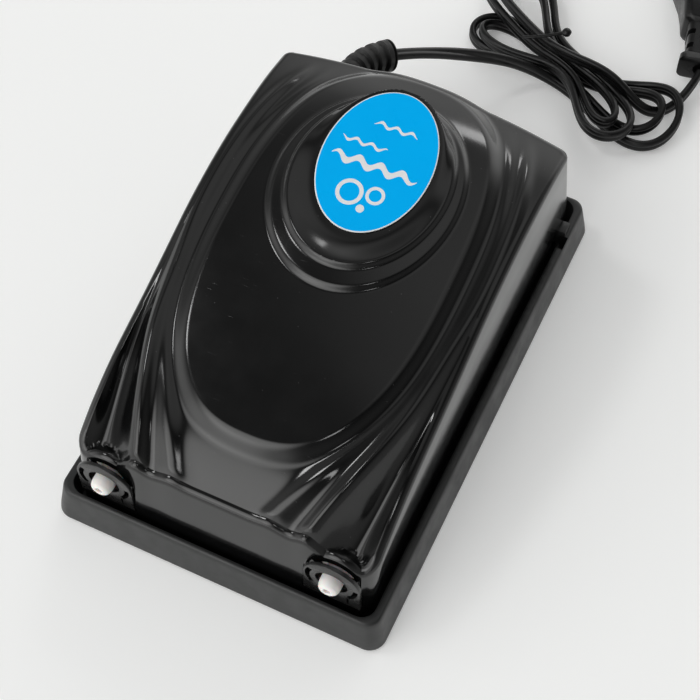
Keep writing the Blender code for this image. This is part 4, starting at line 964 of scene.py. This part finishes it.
# ---------------------------------------------------------------- label
def label_matrix(lift):
    """From label coordinates (x right, y up the slope) to the frame, lift above its base."""
    turn = Matrix.Rotation(math.radians(LABEL_PITCH), 4, "X")
    x, y, z = LABEL_CENTRE
    return Matrix.Translation(point(x, y, z - LABEL_THICKNESS + lift)) @ turn


def oval(half_width, half_length, sides=128):
    return [(half_width * px, half_length * py) for px, py in circle(1.0, sides=sides)]


def make_label():
    """White-edged film with a blue print, waves and bubbles on it."""
    film = plate("label_film", [oval(LABEL_HALF_WIDTH, LABEL_HALF_LENGTH)],
                 LABEL_THICKNESS - 2 * PRINT_THICKNESS,
                 label_matrix(LABEL_THICKNESS / 2 - PRINT_THICKNESS), "label_white", 0.06)
    own(film, "label_blue", "label_badge")
    top = LABEL_THICKNESS - 1.5 * PRINT_THICKNESS
    blue = plate("label_print_blue", [oval(LABEL_HALF_WIDTH - 0.28, LABEL_HALF_LENGTH - 0.28)],
                 PRINT_THICKNESS, label_matrix(top), "label_blue")
    own(blue, "label_blue")
    white = wave_band(-10.8, 10.8, -1.6, 0.85, 5.4, 1.7)
    thin = wave_band(-10.2, 1.2, 3.1, 0.5, 3.8, 0.75)
    upper = wave_band(-4.5, 6.5, 9.0, 0.5, 3.8, 0.75)
    bubbles = [circle(3.3, (-2.7, -9.4), 48), circle(2.35, (-2.7, -9.4), 48),
               circle(2.3, (3.3, -8.2), 40), circle(1.5, (3.3, -8.2), 40),
               circle(1.0, (1.3, -12.4), 28)]
    lifted = label_matrix(top + PRINT_THICKNESS)
    marks = plate("label_print_white", [white, thin, upper] + bubbles, PRINT_THICKNESS,
                  lifted, "label_white")
    own(marks, "label_blue")


def wave_band(x0, x1, y, height, length, width):
    """A wavy band that tapers at both ends."""
    upper, lower = [], []
    count = 72
    for i in range(count + 1):
        t = i / count
        x = x0 + (x1 - x0) * t
        middle = y + height * math.sin(2 * math.pi * x / length)
        half = 0.5 * width * min(1.0, 6 * t + 0.15, 6 * (1 - t) + 0.15)
        upper.append((x, middle + half))
        lower.append((x, middle - half))
    return upper + lower[::-1]


# ---------------------------------------------------------------- tray
def tray_skin():
    """Tray from its underside up the drafted wall, over the rounded lip and down inside."""
    half_x, half_y = TRAY_WIDTH / 2, TRAY_LENGTH / 2

    def ring(inset, z, radius):
        return [(x, y, z) for x, y in rounded_rectangle(half_x - inset, half_y - inset, radius)]

    rings = [ring(0.5, TRAY_UNDERSIDE, TRAY_CORNER - 0.5),
             ring(0.15, TRAY_UNDERSIDE + 0.12, TRAY_CORNER - 0.15),
             ring(0.0, TRAY_UNDERSIDE + 0.5, TRAY_CORNER)]
    lean = TRAY_DRAFT / (TRAY_TOP - TRAY_UNDERSIDE)
    for z in (3.5, 6.5, 9.5, TRAY_TOP - 0.75):
        rings.append(ring(lean * (z - TRAY_UNDERSIDE), z, TRAY_CORNER - 0.6))
    for angle in (20, 45, 70, 90):
        a = math.radians(angle)
        rings.append(ring(TRAY_DRAFT + 0.65 * (1 - math.cos(a)), TRAY_TOP - 0.65 * (1 - math.sin(a)),
                          TRAY_CORNER - 0.8))
    inner = half_x - LIP_INNER_X
    end = half_y - LIP_INNER_Y

    def inside(grow, z, radius):
        return [(x, y, z) for x, y in rounded_rectangle(half_x - inner + grow,
                                                        half_y - end + grow, radius)]

    rings += [inside(0.5, TRAY_TOP, LIP_CORNER + 0.5), inside(0.15, TRAY_TOP - 0.1, LIP_CORNER),
              inside(0.0, TRAY_TOP - 0.5, LIP_CORNER), inside(0.0, 7.0, LIP_CORNER),
              inside(0.0, TRAY_FLOOR + 0.6, LIP_CORNER),
              inside(-0.6, TRAY_FLOOR, LIP_CORNER - 0.6)]
    return loft("pump_tray", rings, "matte_grey_plastic")


def make_tray():
    tray = tray_skin()
    half_y = TRAY_LENGTH / 2
    cuts = [box_tool((-20.5, -half_y - 2, 0), (20.5, -half_y + 1.2, 1.1))]
    lugs = []
    for _, sign in SIDES:
        inner, outer = sorted((sign * (COVER_X - 1.6), sign * (LIP_INNER_X + 1.0)))
        lugs.append(box_tool((inner, LUG_Y[0], 7.2), (outer, LUG_Y[1], TRAY_TOP + 1.4), 0.25, 2))
        inner, outer = sorted((sign * (LIP_INNER_X - 1), sign * (LIP_INNER_X + 1.9)))
        cuts.append(box_tool((inner, LUG_Y[0] - 4.2, 6.5), (outer, LUG_Y[0] - 0.1, 14)))
    for x, y in POSTS:
        cuts.append(cylinder_tool((x, y, 2.0), "Z", 1.8, 6.0, 32))
        cuts.append(cylinder_tool((x, y, 0.6), "Z", 3.4, 2.0, 40))
    for _, x, y in FEET:
        cuts.append(cylinder_tool((x, y, 0.6), "Z", 4.8, 1.6, 48))
    cuts.append(cylinder_tool((0, INLET_Y, 2.0), "Z", 4.0, 8.0))
    cuts.append(cylinder_tool((0, INLET_Y, 0.6), "Z", 7.3, 2.0, 64))
    combine(tray, "UNION", *lugs)
    combine(tray, "DIFFERENCE", *cuts)
    shade(tray.data, 28)
    return own(tray, "matte_grey_plastic", "base_tray")


def make_feet():
    """Rubber feet with a moulded ring and a dimple on the sole."""
    profile = [(0, 1.0), (4.2, 1.0), (4.5, 0.7), (4.5, 0.3), (4.1, 0.0), (2.6, 0.0),
               (2.3, 0.25), (1.7, 0.25), (1.4, 0.05), (0, 0.05)]
    for name, x, y in FEET:
        foot = turned("rubber_" + name, softened(profile, 0.15),
                      Matrix.Translation(point(x, y, 0)), "black_rubber")
        own(foot, "black_rubber", name)


def make_case_screws():
    """Pan-head screws with a cross recess."""
    names = ("back_left", "front_left", "back_right", "front_right")
    profile = [(0, 11.0), (0.5, 10.6), (1.25, 9.4), (1.25, 1.5), (3.0, 1.5), (3.0, 0.9),
               (2.2, 0.45), (0, 0.45)]
    for name, (x, y) in zip(names, POSTS):
        screw = turned("screw_" + name, softened(profile, 0.2, 2),
                       Matrix.Translation(point(x, y, 0)), "zinc_plated_steel", 32)
        arms = [box_tool((x - a, y - b, -1), (x + a, y + b, 1.05))
                for a, b in ((1.5, 0.3), (0.3, 1.5))]
        combine(screw, "DIFFERENCE", *arms)
        shade(screw.data)
        own(screw, "zinc_plated_steel", "case_screw_" + name)


# ---------------------------------------------------------------- outlets
def make_bezel(side, sign):
    """Upright plate, round above and straight-sided below, with a round hole, two curved slots
    and a slit that runs from the right slot down towards the edge."""
    turn = Matrix(((1, 0, 0, 0), (0, 0, -1, 0), (0, 1, 0, 0), (0, 0, 0, 1)))
    face = Matrix.Translation(point(sign * OUTLET_X, OUTLET_FACE + 0.5, OUTLET_Z)) @ turn

    def slot(start, end):
        outline = (circle(SLOT_OUTER, sides=24, start=start, end=end)
                   + circle(SLOT_INNER, sides=24, start=end, end=start))
        return plate("tool", [outline], 4.0, face)

    arch = circle(BEZEL_RADIUS, sides=64, end=180)
    arch += [(-BEZEL_RADIUS, -BEZEL_SKIRT), (BEZEL_RADIUS, -BEZEL_SKIRT)]
    bezel = plate("bezel_" + side, [arch, circle(BEZEL_HOLE, sides=64)], 1.0, face, "bezel_black", 0.16)
    x0 = sign * OUTLET_X + 3.8
    slit = box_tool((x0, OUTLET_FACE - 1, OUTLET_Z - 7.6),
                    (x0 + 0.5, OUTLET_FACE + 3, OUTLET_Z - 4.6))
    combine(bezel, "DIFFERENCE", slot(150, 215), slot(-46, 4), slit)
    shade(bezel.data)
    own(bezel, "gloss_black_plastic", "outlet_bezel_" + side)


def make_nozzle(side, sign):
    """White nozzle: rounded tip with a bore, flange behind the bezel, barb at the rear."""
    rear = -49.0
    total = rear - NOZZLE_TIP
    flange = rear - NOZZLE_FLANGE
    profile = [(0.9, total - 3.0), (0.9, total - 0.15), (1.15, total), (1.6, total),
               (2.25, total - 0.4), (NOZZLE_RADIUS, total - 1.5), (NOZZLE_RADIUS, flange),
               (5.2, flange), (5.2, flange - 1.2), (2.4, flange - 1.2), (2.0, 2.4),
               (2.3, 1.8), (1.7, 0), (0.9, 0)]
    rounded = softened(profile + profile[:1], 0.5, 4)[1:]
    turn = Matrix(((1, 0, 0, 0), (0, 0, -1, 0), (0, 1, 0, 0), (0, 0, 0, 1)))
    where = Matrix.Translation(point(sign * OUTLET_X, rear, OUTLET_Z)) @ turn
    nozzle = turned("nozzle_" + side, rounded, where, "nozzle_white", 64)
    own(nozzle, "nozzle_white", "outlet_nozzle_" + side)


# ---------------------------------------------------------------- cord and plug
def boot_curve(count):
    return bezier((BOOT_WALL[0], BOOT_TAIL_Y, BOOT_WALL[2]), BOOT_BEND, BOOT_END, count)


def make_boot():
    """Strain relief: inner flange, neck in the wall, outer flange and a ribbed tail."""
    path, outer = [], []
    neck, valley, crest = BOOT_RADIUS - 1.2, BOOT_RADIUS - 1.0, BOOT_RADIUS
    for y, radius in ((49.0, crest - 0.3), (49.3, crest), (50.3, crest), (50.6, crest - 0.2),
                      (50.8, neck), (57.5, neck), (57.6, crest - 0.3), (57.9, crest)):
        path.append(Vector((BOOT_WALL[0], y, BOOT_WALL[2])))
        outer.append(radius)
    ribs, per_rib = 5.5, 20
    count = int(ribs * per_rib) + 1
    path += boot_curve(count)
    for i in range(count):
        wave = 0.5 + 0.5 * math.cos(2 * math.pi * i / per_rib)
        rib = valley + (crest - valley) * smoothstep(0.25, 0.62, wave)
        outer.append(rib * (0.86 + 0.14 * i / count))
    outer[-1] = crest - 0.25
    for i in (-2, -3):
        outer[i] = crest
    boot = sleeve("cord_relief_boot", path, outer, BOOT_BORE, "black_rubber", 40)
    own(boot, "black_rubber", "cord_boot")


def heading(degrees):
    return Vector((math.cos(math.radians(degrees)), math.sin(math.radians(degrees)), 0))


# each turn of the bundle: right reach, left reach, place across the tie, spread of the right
# and of the left lobe, layer, and the headings of the lobes relative to the tie's
TURNS = (
    (33.0, 34.0, 1.5, 22.0, 14.0, 0, 9.0, 5.0),
    (28.5, 31.0, 0.5, 17.0, 11.0, 0, 9.0, 5.0),
    (27.0, 43.0, 1.5, 13.0, 19.0, 1, -21.0, -21.0),
    (22.5, 39.0, 0.5, 10.5, 16.0, 1, -21.0, -21.0),
    (20.0, 39.0, 0.0, 10.5, 16.0, 2, -21.0, -21.0),
)


def bundle_point(turn, degrees):
    """Point on one turn of the bundle; -90 is the near side of the tie, 0 the right end."""
    angle = math.radians(degrees)
    here, after = TURNS[turn], TURNS[turn + 1]
    along, across = math.cos(angle), math.sin(angle)
    right = along > 0
    share = smoothstep(100, 260, degrees)
    pinch = STRAND_PITCH * (here[2] + (after[2] - here[2]) * share)
    spread = here[3] if right else here[4]
    e = along * (here[0] if right else here[1])
    n = across * (pinch + spread * along * along)
    turned_by = smoothstep(0, 0.7, abs(along)) * (here[6] if right else here[7])
    base = math.radians(TIE_HEADING + turned_by)
    x = TIE_CENTRE[0] + e * math.cos(base) - n * math.sin(base)
    y = TIE_CENTRE[1] + e * math.sin(base) + n * math.cos(base)
    z = LAYER_ONE + LAYER_PITCH * (here[5] + (after[5] - here[5]) * smoothstep(140, 225, degrees))
    z += 1.3 * math.exp(-(e / 7.0) ** 2)
    if here[5]:
        z += 1.3 * smoothstep(8, 22, e)
    else:
        z += 4.3 * math.exp(-((x - UNDERPASS[0]) ** 2 + (y - UNDERPASS[1]) ** 2) / 60.0)
    return Vector((x, y, z))


def evenly(path, step):
    """The same line with its points at equal distances."""
    points = np.array([tuple(p) for p in path])
    along = np.concatenate([[0], np.cumsum(np.linalg.norm(np.diff(points, axis=0), axis=1))])
    at = np.linspace(0, along[-1], int(along[-1] / step) + 1)
    return np.stack([np.interp(at, along, points[:, k]) for k in range(3)], axis=1)


def settle(points, step, free_from, free_to):
    """Push strands that would overlap apart, sideways or up and down, and smooth the line."""
    reach = np.array([STRAND_PITCH, STRAND_PITCH, LAYER_PITCH])
    index = np.arange(len(points))
    apart = np.abs(index[:, None] - index[None]) * step > 9.0
    free = ((index >= free_from) & (index < len(points) - free_to))[:, None]
    for _ in range(SETTLE_ROUNDS):
        offset = (points[:, None] - points[None]) / reach
        distance = np.linalg.norm(offset, axis=2) + 1e-6
        press = np.where(apart, np.clip(1.0 - distance, 0.0, None), 0.0)
        push = (offset / distance[..., None] * press[..., None]).sum(axis=1) * reach * 0.3
        push[1:-1] = (push[:-2] + 2 * push[1:-1] + push[2:]) / 4
        bend = np.zeros_like(points)
        bend[1:-1] = (points[:-2] + points[2:]) / 2 - points[1:-1]
        bend[1:-1] = bend[1:-1] - (bend[:-2] + bend[2:]) / 2
        points = points + np.where(free, push + 0.25 * bend, 0.0)
        points[:, 2] = np.maximum(points[:, 2], LAYER_ONE)
    return points


def cord_path(step):
    """Centre line of the cord: boot, bundle of four turns, then over the upper lobe, down
    inside the lower one, under its far side and up to the plug."""
    tail = (Vector(BOOT_END) - Vector(BOOT_BEND)).normalized()
    inside = [Vector((BOOT_WALL[0], 46.0, BOOT_WALL[2]))]
    first = bundle_point(0, -90)
    run_in = hermite(BOOT_END, tail * 46, first, heading(-20) * 40 + Vector((0, 0, -4)), 20)
    path = inside + boot_curve(12)[:-1] + run_in[:-1]
    for turn in range(4):
        path += [bundle_point(turn, -90 + 6 * i) for i in range(60)]
    way_out = (
        (bundle_point(3, 269.9), heading(-10) * 10),
        (Vector((31.5, 110.6, 9.9)), Vector((9.0, -1.2, -2.5))),
        (Vector((42.0, 107.8, 2.2)), Vector((7.0, -0.2, -3.0))),
        (Vector((49.6, 113.6, 2.2)), Vector((3.4, 7.0, 1.5))),
        (Vector((*PLUG_START, PLUG_Z)) + heading(PLUG_HEADING), heading(PLUG_HEADING) * 8),
    )
    path.append(way_out[0][0])
    for (a, slope_a), (b, slope_b) in zip(way_out, way_out[1:]):
        path += hermite(a, slope_a, b, slope_b, 7)[1:]
    return settle(evenly(path, step), step, int(48 / step), int(9 / step))


def refined(points, parts):
    """Catmull-Rom curve through points with each span cut into parts."""
    points = [Vector(p) for p in points]
    padded = [points[0]] + points + [points[-1]]
    result = []
    for a, b, c, d in zip(padded, padded[1:], padded[2:], padded[3:]):
        for i in range(parts):
            t = i / parts
            result.append(0.5 * (2 * b + (c - a) * t + (2 * a - 5 * b + 4 * c - d) * t ** 2
                                 + (3 * b - a - 3 * c + d) * t ** 3))
    result.append(points[-1])
    return result


def twin_section():
    """Two round cores joined side by side, with a groove on both faces."""
    reach = math.degrees(math.acos(-CORD_LOBE_AT / CORD_LOBE)) - 4
    right = circle(CORD_LOBE, (CORD_LOBE_AT, 0), 12, -reach, reach)
    left = circle(CORD_LOBE, (-CORD_LOBE_AT, 0), 12, 180 - reach, 180 + reach)
    return right + left


def make_cord():
    """Twin cord that lies flat where it leaves the boot and stands on edge in the bundle."""
    parts = 3
    path = refined(cord_path(CORD_STEP), parts)
    section = twin_section()
    rings = []
    for i, here in enumerate(path):
        tangent = path[min(i + 1, len(path) - 1)] - path[max(i - 1, 0)]
        side = tangent.cross(Vector((0, 0, 1))).normalized()
        up = side.cross(tangent.normalized())
        turn = math.pi / 2 * (1 - smoothstep(38, 78, i * CORD_STEP / parts))
        wide = up * math.cos(turn) - side * math.sin(turn)
        thin = side * math.cos(turn) + up * math.sin(turn)
        rings.append([here + wide * px + thin * py for px, py in section])
    cord = loft("mains_cord", rings, "cord_black", smooth=False)
    shade(cord.data, 50)
    own(cord, "cord_black", "power_cord")


def tie_basis():
    """Directions across and along the bundle."""
    along, across = heading(TIE_HEADING), heading(TIE_HEADING + 90)
    return across, along


def make_tie():
    """Twist tie: two close bands round the strands, a twisted knot and two free tails."""
    across, along = tie_basis()
    centre = Vector((*TIE_CENTRE, 0))
    loop = rounded_loop([(-6.5, 0.4), (6.1, 0.4), (6.2, 9.2), (2.3, 13.4), (-1.9, 13.4),
                         (-6.5, 9.5)])
    bands = []
    for offset in (-0.62, 0.62):
        rings = []
        for i, (n, z) in enumerate(loop):
            before, after = loop[i - 1], loop[(i + 1) % len(loop)]
            tangent = (across * (after[0] - before[0])
                       + Vector((0, 0, after[1] - before[1]))).normalized()
            out = tangent.cross(along)
            here = centre + across * n + Vector((0, 0, z)) + along * offset
            rings.append([here + along * px + out * py for px, py in oval(0.55, 0.27, 12)])
        bands.append(loft("tool", rings, "cord_black", closed=True))
    start = centre + across * 0.4 + Vector((0, 0, 13.5))
    knot = Vector((15.6, 115.9, 14.6))
    strands = []
    for phase in (0.0, math.pi):
        strands.append(twisted(start, knot, 0.42, 2.6, phase))
    right = hermite(knot, (4, 4, 1), (31.0, 117.5, 9.0), (9, -5, -5), 24)
    left = hermite(knot, (-3, -3, 0), (4.4, 111.2, 12.2), (-6, 1, -1), 18)
    tie = bands[0]
    tie.name = "twist_tie"
    tools = bands[1:]
    for path in strands + [right, left]:
        tools.append(cord_like("tool", path, oval(0.52, 0.34, 12), "cord_black"))
    knob = turned("tool", [(0, 1.0), (0.9, 0.8), (1.35, 0.1), (1.1, -0.8), (0, -1.1)],
                  Matrix.Translation(knot * MM), "cord_black", 24)
    tools.append(knob)
    combine(tie, "UNION", *tools)
    shade(tie.data, 45)
    own(tie, "cord_black", "cord_tie")


def rounded_loop(corners, parts=6):
    """Closed smooth loop that keeps close to its corners."""
    result = []
    count = len(corners)
    for i in range(count):
        a, b, c = (Vector((*corners[(i + k) % count], 0)) for k in (-1, 0, 1))
        start, end = b.lerp(a, 0.3), b.lerp(c, 0.3)
        result += [(p.x, p.y) for p in bezier(start, b, end, parts)]
    return result


def twisted(start, end, radius, turns, phase):
    """Helix of one wire round the line from start to end."""
    run = end - start
    side = run.cross(Vector((0, 0, 1))).normalized()
    up = side.cross(run.normalized())
    points = []
    for i in range(31):
        t = i / 30
        angle = phase + 2 * math.pi * turns * t
        points.append(start + run * t + side * (radius * math.cos(angle))
                      + up * (radius * math.sin(angle)))
    return points


def plug_matrix():
    turn = Matrix.Rotation(math.radians(PLUG_HEADING - 90), 4, "Z")
    return Matrix.Translation(point(*PLUG_START, PLUG_Z)) @ turn


def make_plug():
    """Flat two-pin plug lying on its side: collar, slotted neck and a body that widens to
    the pin face."""
    end = PLUG_NECK + PLUG_BODY
    stations = ((2.0, 5.6, 3.7, 1.5), (2.3, 6.2, 4.2, 1.9), (4.2, 6.2, 4.2, 1.9),
                (4.6, 5.8, 4.0, 1.8), (4.8, 4.6, 3.6, 1.8), (8.0, 4.75, 3.8, 1.8),
                (PLUG_NECK - 1, 5.4, 4.4, 1.9), (PLUG_NECK - 0.3, 6.6, 5.3, 2.2),
                (PLUG_NECK + 0.4, 7.0, 5.6, 2.3), (PLUG_NECK + 5, 7.7, 6.15, 2.4),
                (PLUG_NECK + 9, 8.6, 6.6, 2.4), (PLUG_NECK + 14.5, 10.8, 6.75, 2.4),
                (PLUG_NECK + 20, 12.4, 6.85, 2.4), (end - 0.5, 12.8, 6.85, 2.4),
                (end, 12.3, 6.4, 2.1))
    rings = [[(x, y, z) for x, z in rounded_rectangle(half_x, half_z, corner, 6)]
             for y, half_x, half_z, corner in stations]
    plug = loft("mains_plug", rings, "cord_black")
    tools = []
    for y in (7.6, 12.4):
        for side in (-1, 1):
            x0, x1 = sorted((side * 3.1, side * 9))
            tools.append(box_tool((x0, y - 0.8, -9), (x1, y + 0.8, 9), 0.2, 2))
    tools.append(cylinder_tool((0, 2.0, 0), "Y", BOOT_BORE, 4.4, 32))
    for side in (-1, 1):
        tools.append(cylinder_tool((side * PIN_SPACING / 2, end, 0), "Y", PIN_RADIUS + GAP,
                                   12.0, 40))
        for k in range(4):
            y = PLUG_NECK + 21.0 + 2.6 * k
            tools.append(cylinder_tool((side * 13.15, y, 0), "Z", 0.55, 9.0, 20))
    combine(plug, "DIFFERENCE", *tools)
    plug.data.transform(plug_matrix())
    shade(plug.data, 40)
    own(plug, "cord_black", "plug_body")


def make_pins():
    base = PLUG_NECK + PLUG_BODY
    profile = [(0, PIN_LENGTH), (1.0, PIN_LENGTH - 0.15), (1.7, PIN_LENGTH - 0.8),
               (PIN_RADIUS, PIN_LENGTH - 1.8), (PIN_RADIUS, 0.4), (PIN_RADIUS - 0.08, 0.2),
               (PIN_RADIUS, 0.0), (PIN_RADIUS, -5.5), (0, -5.5)]
    for side, sign in SIDES:
        where = (plug_matrix() @ Matrix.Translation(point(sign * PIN_SPACING / 2, base, 0))
                 @ Matrix.Rotation(-math.pi / 2, 4, "X"))
        pin = turned("mains_pin_" + side, softened(profile, 0.3), where, "nickel_plated_brass",
                     40)
        own(pin, "nickel_plated_brass", "plug_pin_" + side)


# ---------------------------------------------------------------- carried-over CAD nodes
def dress_cad_nodes(frame):
    """Each CAD node that stays visible gets the detailed material of its slot."""
    slots = {row["node"]: row["material_slot"] for row in frame["record"]["subparts"]}
    for name, obj in frame["nodes"].items():
        if obj.hide_render:
            continue
        material = MATERIALS[slots[name]]
        for slot in obj.material_slots:
            slot.material = material


# ---------------------------------------------------------------- studio
def make_floor():
    bm = bmesh.new()
    bmesh.ops.create_grid(bm, x_segments=8, y_segments=8, size=3.0)
    mesh = bpy.data.meshes.new("studio_floor")
    bm.to_mesh(mesh)
    bm.free()
    floor = bpy.data.objects.new("studio_floor", mesh)
    floor.location.z = -0.05 * MM
    mesh.materials.append(floor_white())
    bpy.context.scene.collection.objects.link(floor)


def direction(azimuth, elevation):
    az, el = math.radians(azimuth), math.radians(elevation)
    return Vector((math.sin(az) * math.cos(el), math.cos(az) * math.cos(el), math.sin(el)))


def make_world():
    """Light tent: walls that darken towards the ceiling, with soft lights in them."""
    world = bpy.data.worlds.new("light_tent")
    bpy.context.scene.world = world
    world.use_nodes = True
    tree = world.node_tree
    link = tree.links.new
    place = tree.nodes.new("ShaderNodeTexCoord").outputs["Generated"]
    split = tree.nodes.new("ShaderNodeSeparateXYZ")
    link(place, split.inputs[0])
    height = tree.nodes.new("ShaderNodeMapRange")
    height.inputs["From Min"].default_value = -1.0
    link(split.outputs["Z"], height.inputs[0])
    ramp = tree.nodes.new("ShaderNodeValToRGB")
    link(height.outputs[0], ramp.inputs[0])
    brightest = max(value for _, value in TENT_WALLS)
    ramp.color_ramp.elements.remove(ramp.color_ramp.elements[1])
    for index, (elevation, value) in enumerate(TENT_WALLS):
        at = 0.5 + 0.5 * math.sin(math.radians(elevation))
        element = ramp.color_ramp.elements[0] if index == 0 else ramp.color_ramp.elements.new(at)
        element.position = at
        element.color = (value / brightest, value / brightest, value / brightest, 1.0)

    def combined(operation, a, b):
        node = tree.nodes.new("ShaderNodeMath")
        node.operation = operation
        for socket, value in zip(node.inputs, (a, b)):
            if isinstance(value, bpy.types.NodeSocket):
                link(value, socket)
            else:
                socket.default_value = value
        return node.outputs[0]

    def lobe(azimuth, elevation, half, soft, value):
        dot = tree.nodes.new("ShaderNodeVectorMath")
        dot.operation = "DOT_PRODUCT"
        link(place, dot.inputs[0])
        dot.inputs[1].default_value = direction(azimuth, elevation)
        edge = tree.nodes.new("ShaderNodeMapRange")
        edge.interpolation_type = "SMOOTHSTEP"
        link(dot.outputs["Value"], edge.inputs[0])
        edge.inputs["From Min"].default_value = math.cos(math.radians(half + soft))
        edge.inputs["From Max"].default_value = math.cos(math.radians(max(half - soft, 0)))
        edge.inputs["To Max"].default_value = value
        return edge.outputs[0]

    total = combined("MULTIPLY", ramp.outputs[0], brightest)
    for dark in TENT_SHADES:
        total = combined("MULTIPLY", total, combined("ADD", 1.0, lobe(*dark)))
    for light in TENT_LIGHTS:
        total = combined("ADD", total, lobe(*light))
    background = tree.nodes["Background"]
    link(total, background.inputs["Strength"])
    background.inputs["Color"].default_value = (1.0, 1.0, 0.99, 1.0)


def make_light(name, azimuth, elevation, width, radiance):
    """Square lamp that looks at the pump and appears width degrees wide from it."""
    size = 2 * LAMP_DISTANCE * math.tan(math.radians(width / 2))
    lamp = bpy.data.lights.new(name, "AREA")
    lamp.shape = "SQUARE"
    lamp.size = size
    lamp.energy = radiance * math.pi * size * size
    light = bpy.data.objects.new(name, lamp)
    out = direction(azimuth, elevation)
    light.location = out * LAMP_DISTANCE + point(0, 0, 30)
    light.rotation_euler = out.to_track_quat("Z", "Y").to_euler()
    bpy.context.scene.collection.objects.link(light)


def make_camera():
    back = direction(180 - CAMERA_AZIMUTH, CAMERA_ELEVATION)
    right = Vector((0, 0, 1)).cross(back).normalized()
    up = back.cross(right)
    camera = bpy.data.objects.new("camera", bpy.data.cameras.new("camera"))
    camera.data.lens = CAMERA_LENS
    camera.data.sensor_width = 36
    camera.data.clip_start = 0.01
    place = (back * CAMERA_DISTANCE + right * CAMERA_SHIFT[0] + up * CAMERA_SHIFT[1]) * MM
    camera.matrix_world = Matrix(((right.x, up.x, back.x, place.x),
                                  (right.y, up.y, back.y, place.y),
                                  (right.z, up.z, back.z, place.z), (0, 0, 0, 1)))
    bpy.context.scene.collection.objects.link(camera)
    bpy.context.scene.camera = camera


def make_studio():
    make_floor()
    make_world()
    for lamp in LAMPS:
        make_light(*lamp)
    make_camera()
    bpy.context.scene.view_settings.view_transform = "Standard"


def main():
    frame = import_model()
    make_cover()
    make_label()
    make_tray()
    make_feet()
    make_case_screws()
    for side, sign in SIDES:
        make_bezel(side, sign)
        make_nozzle(side, sign)
    make_boot()
    make_cord()
    make_tie()
    make_plug()
    make_pins()
    dress_cad_nodes(frame)
    make_studio()


main()
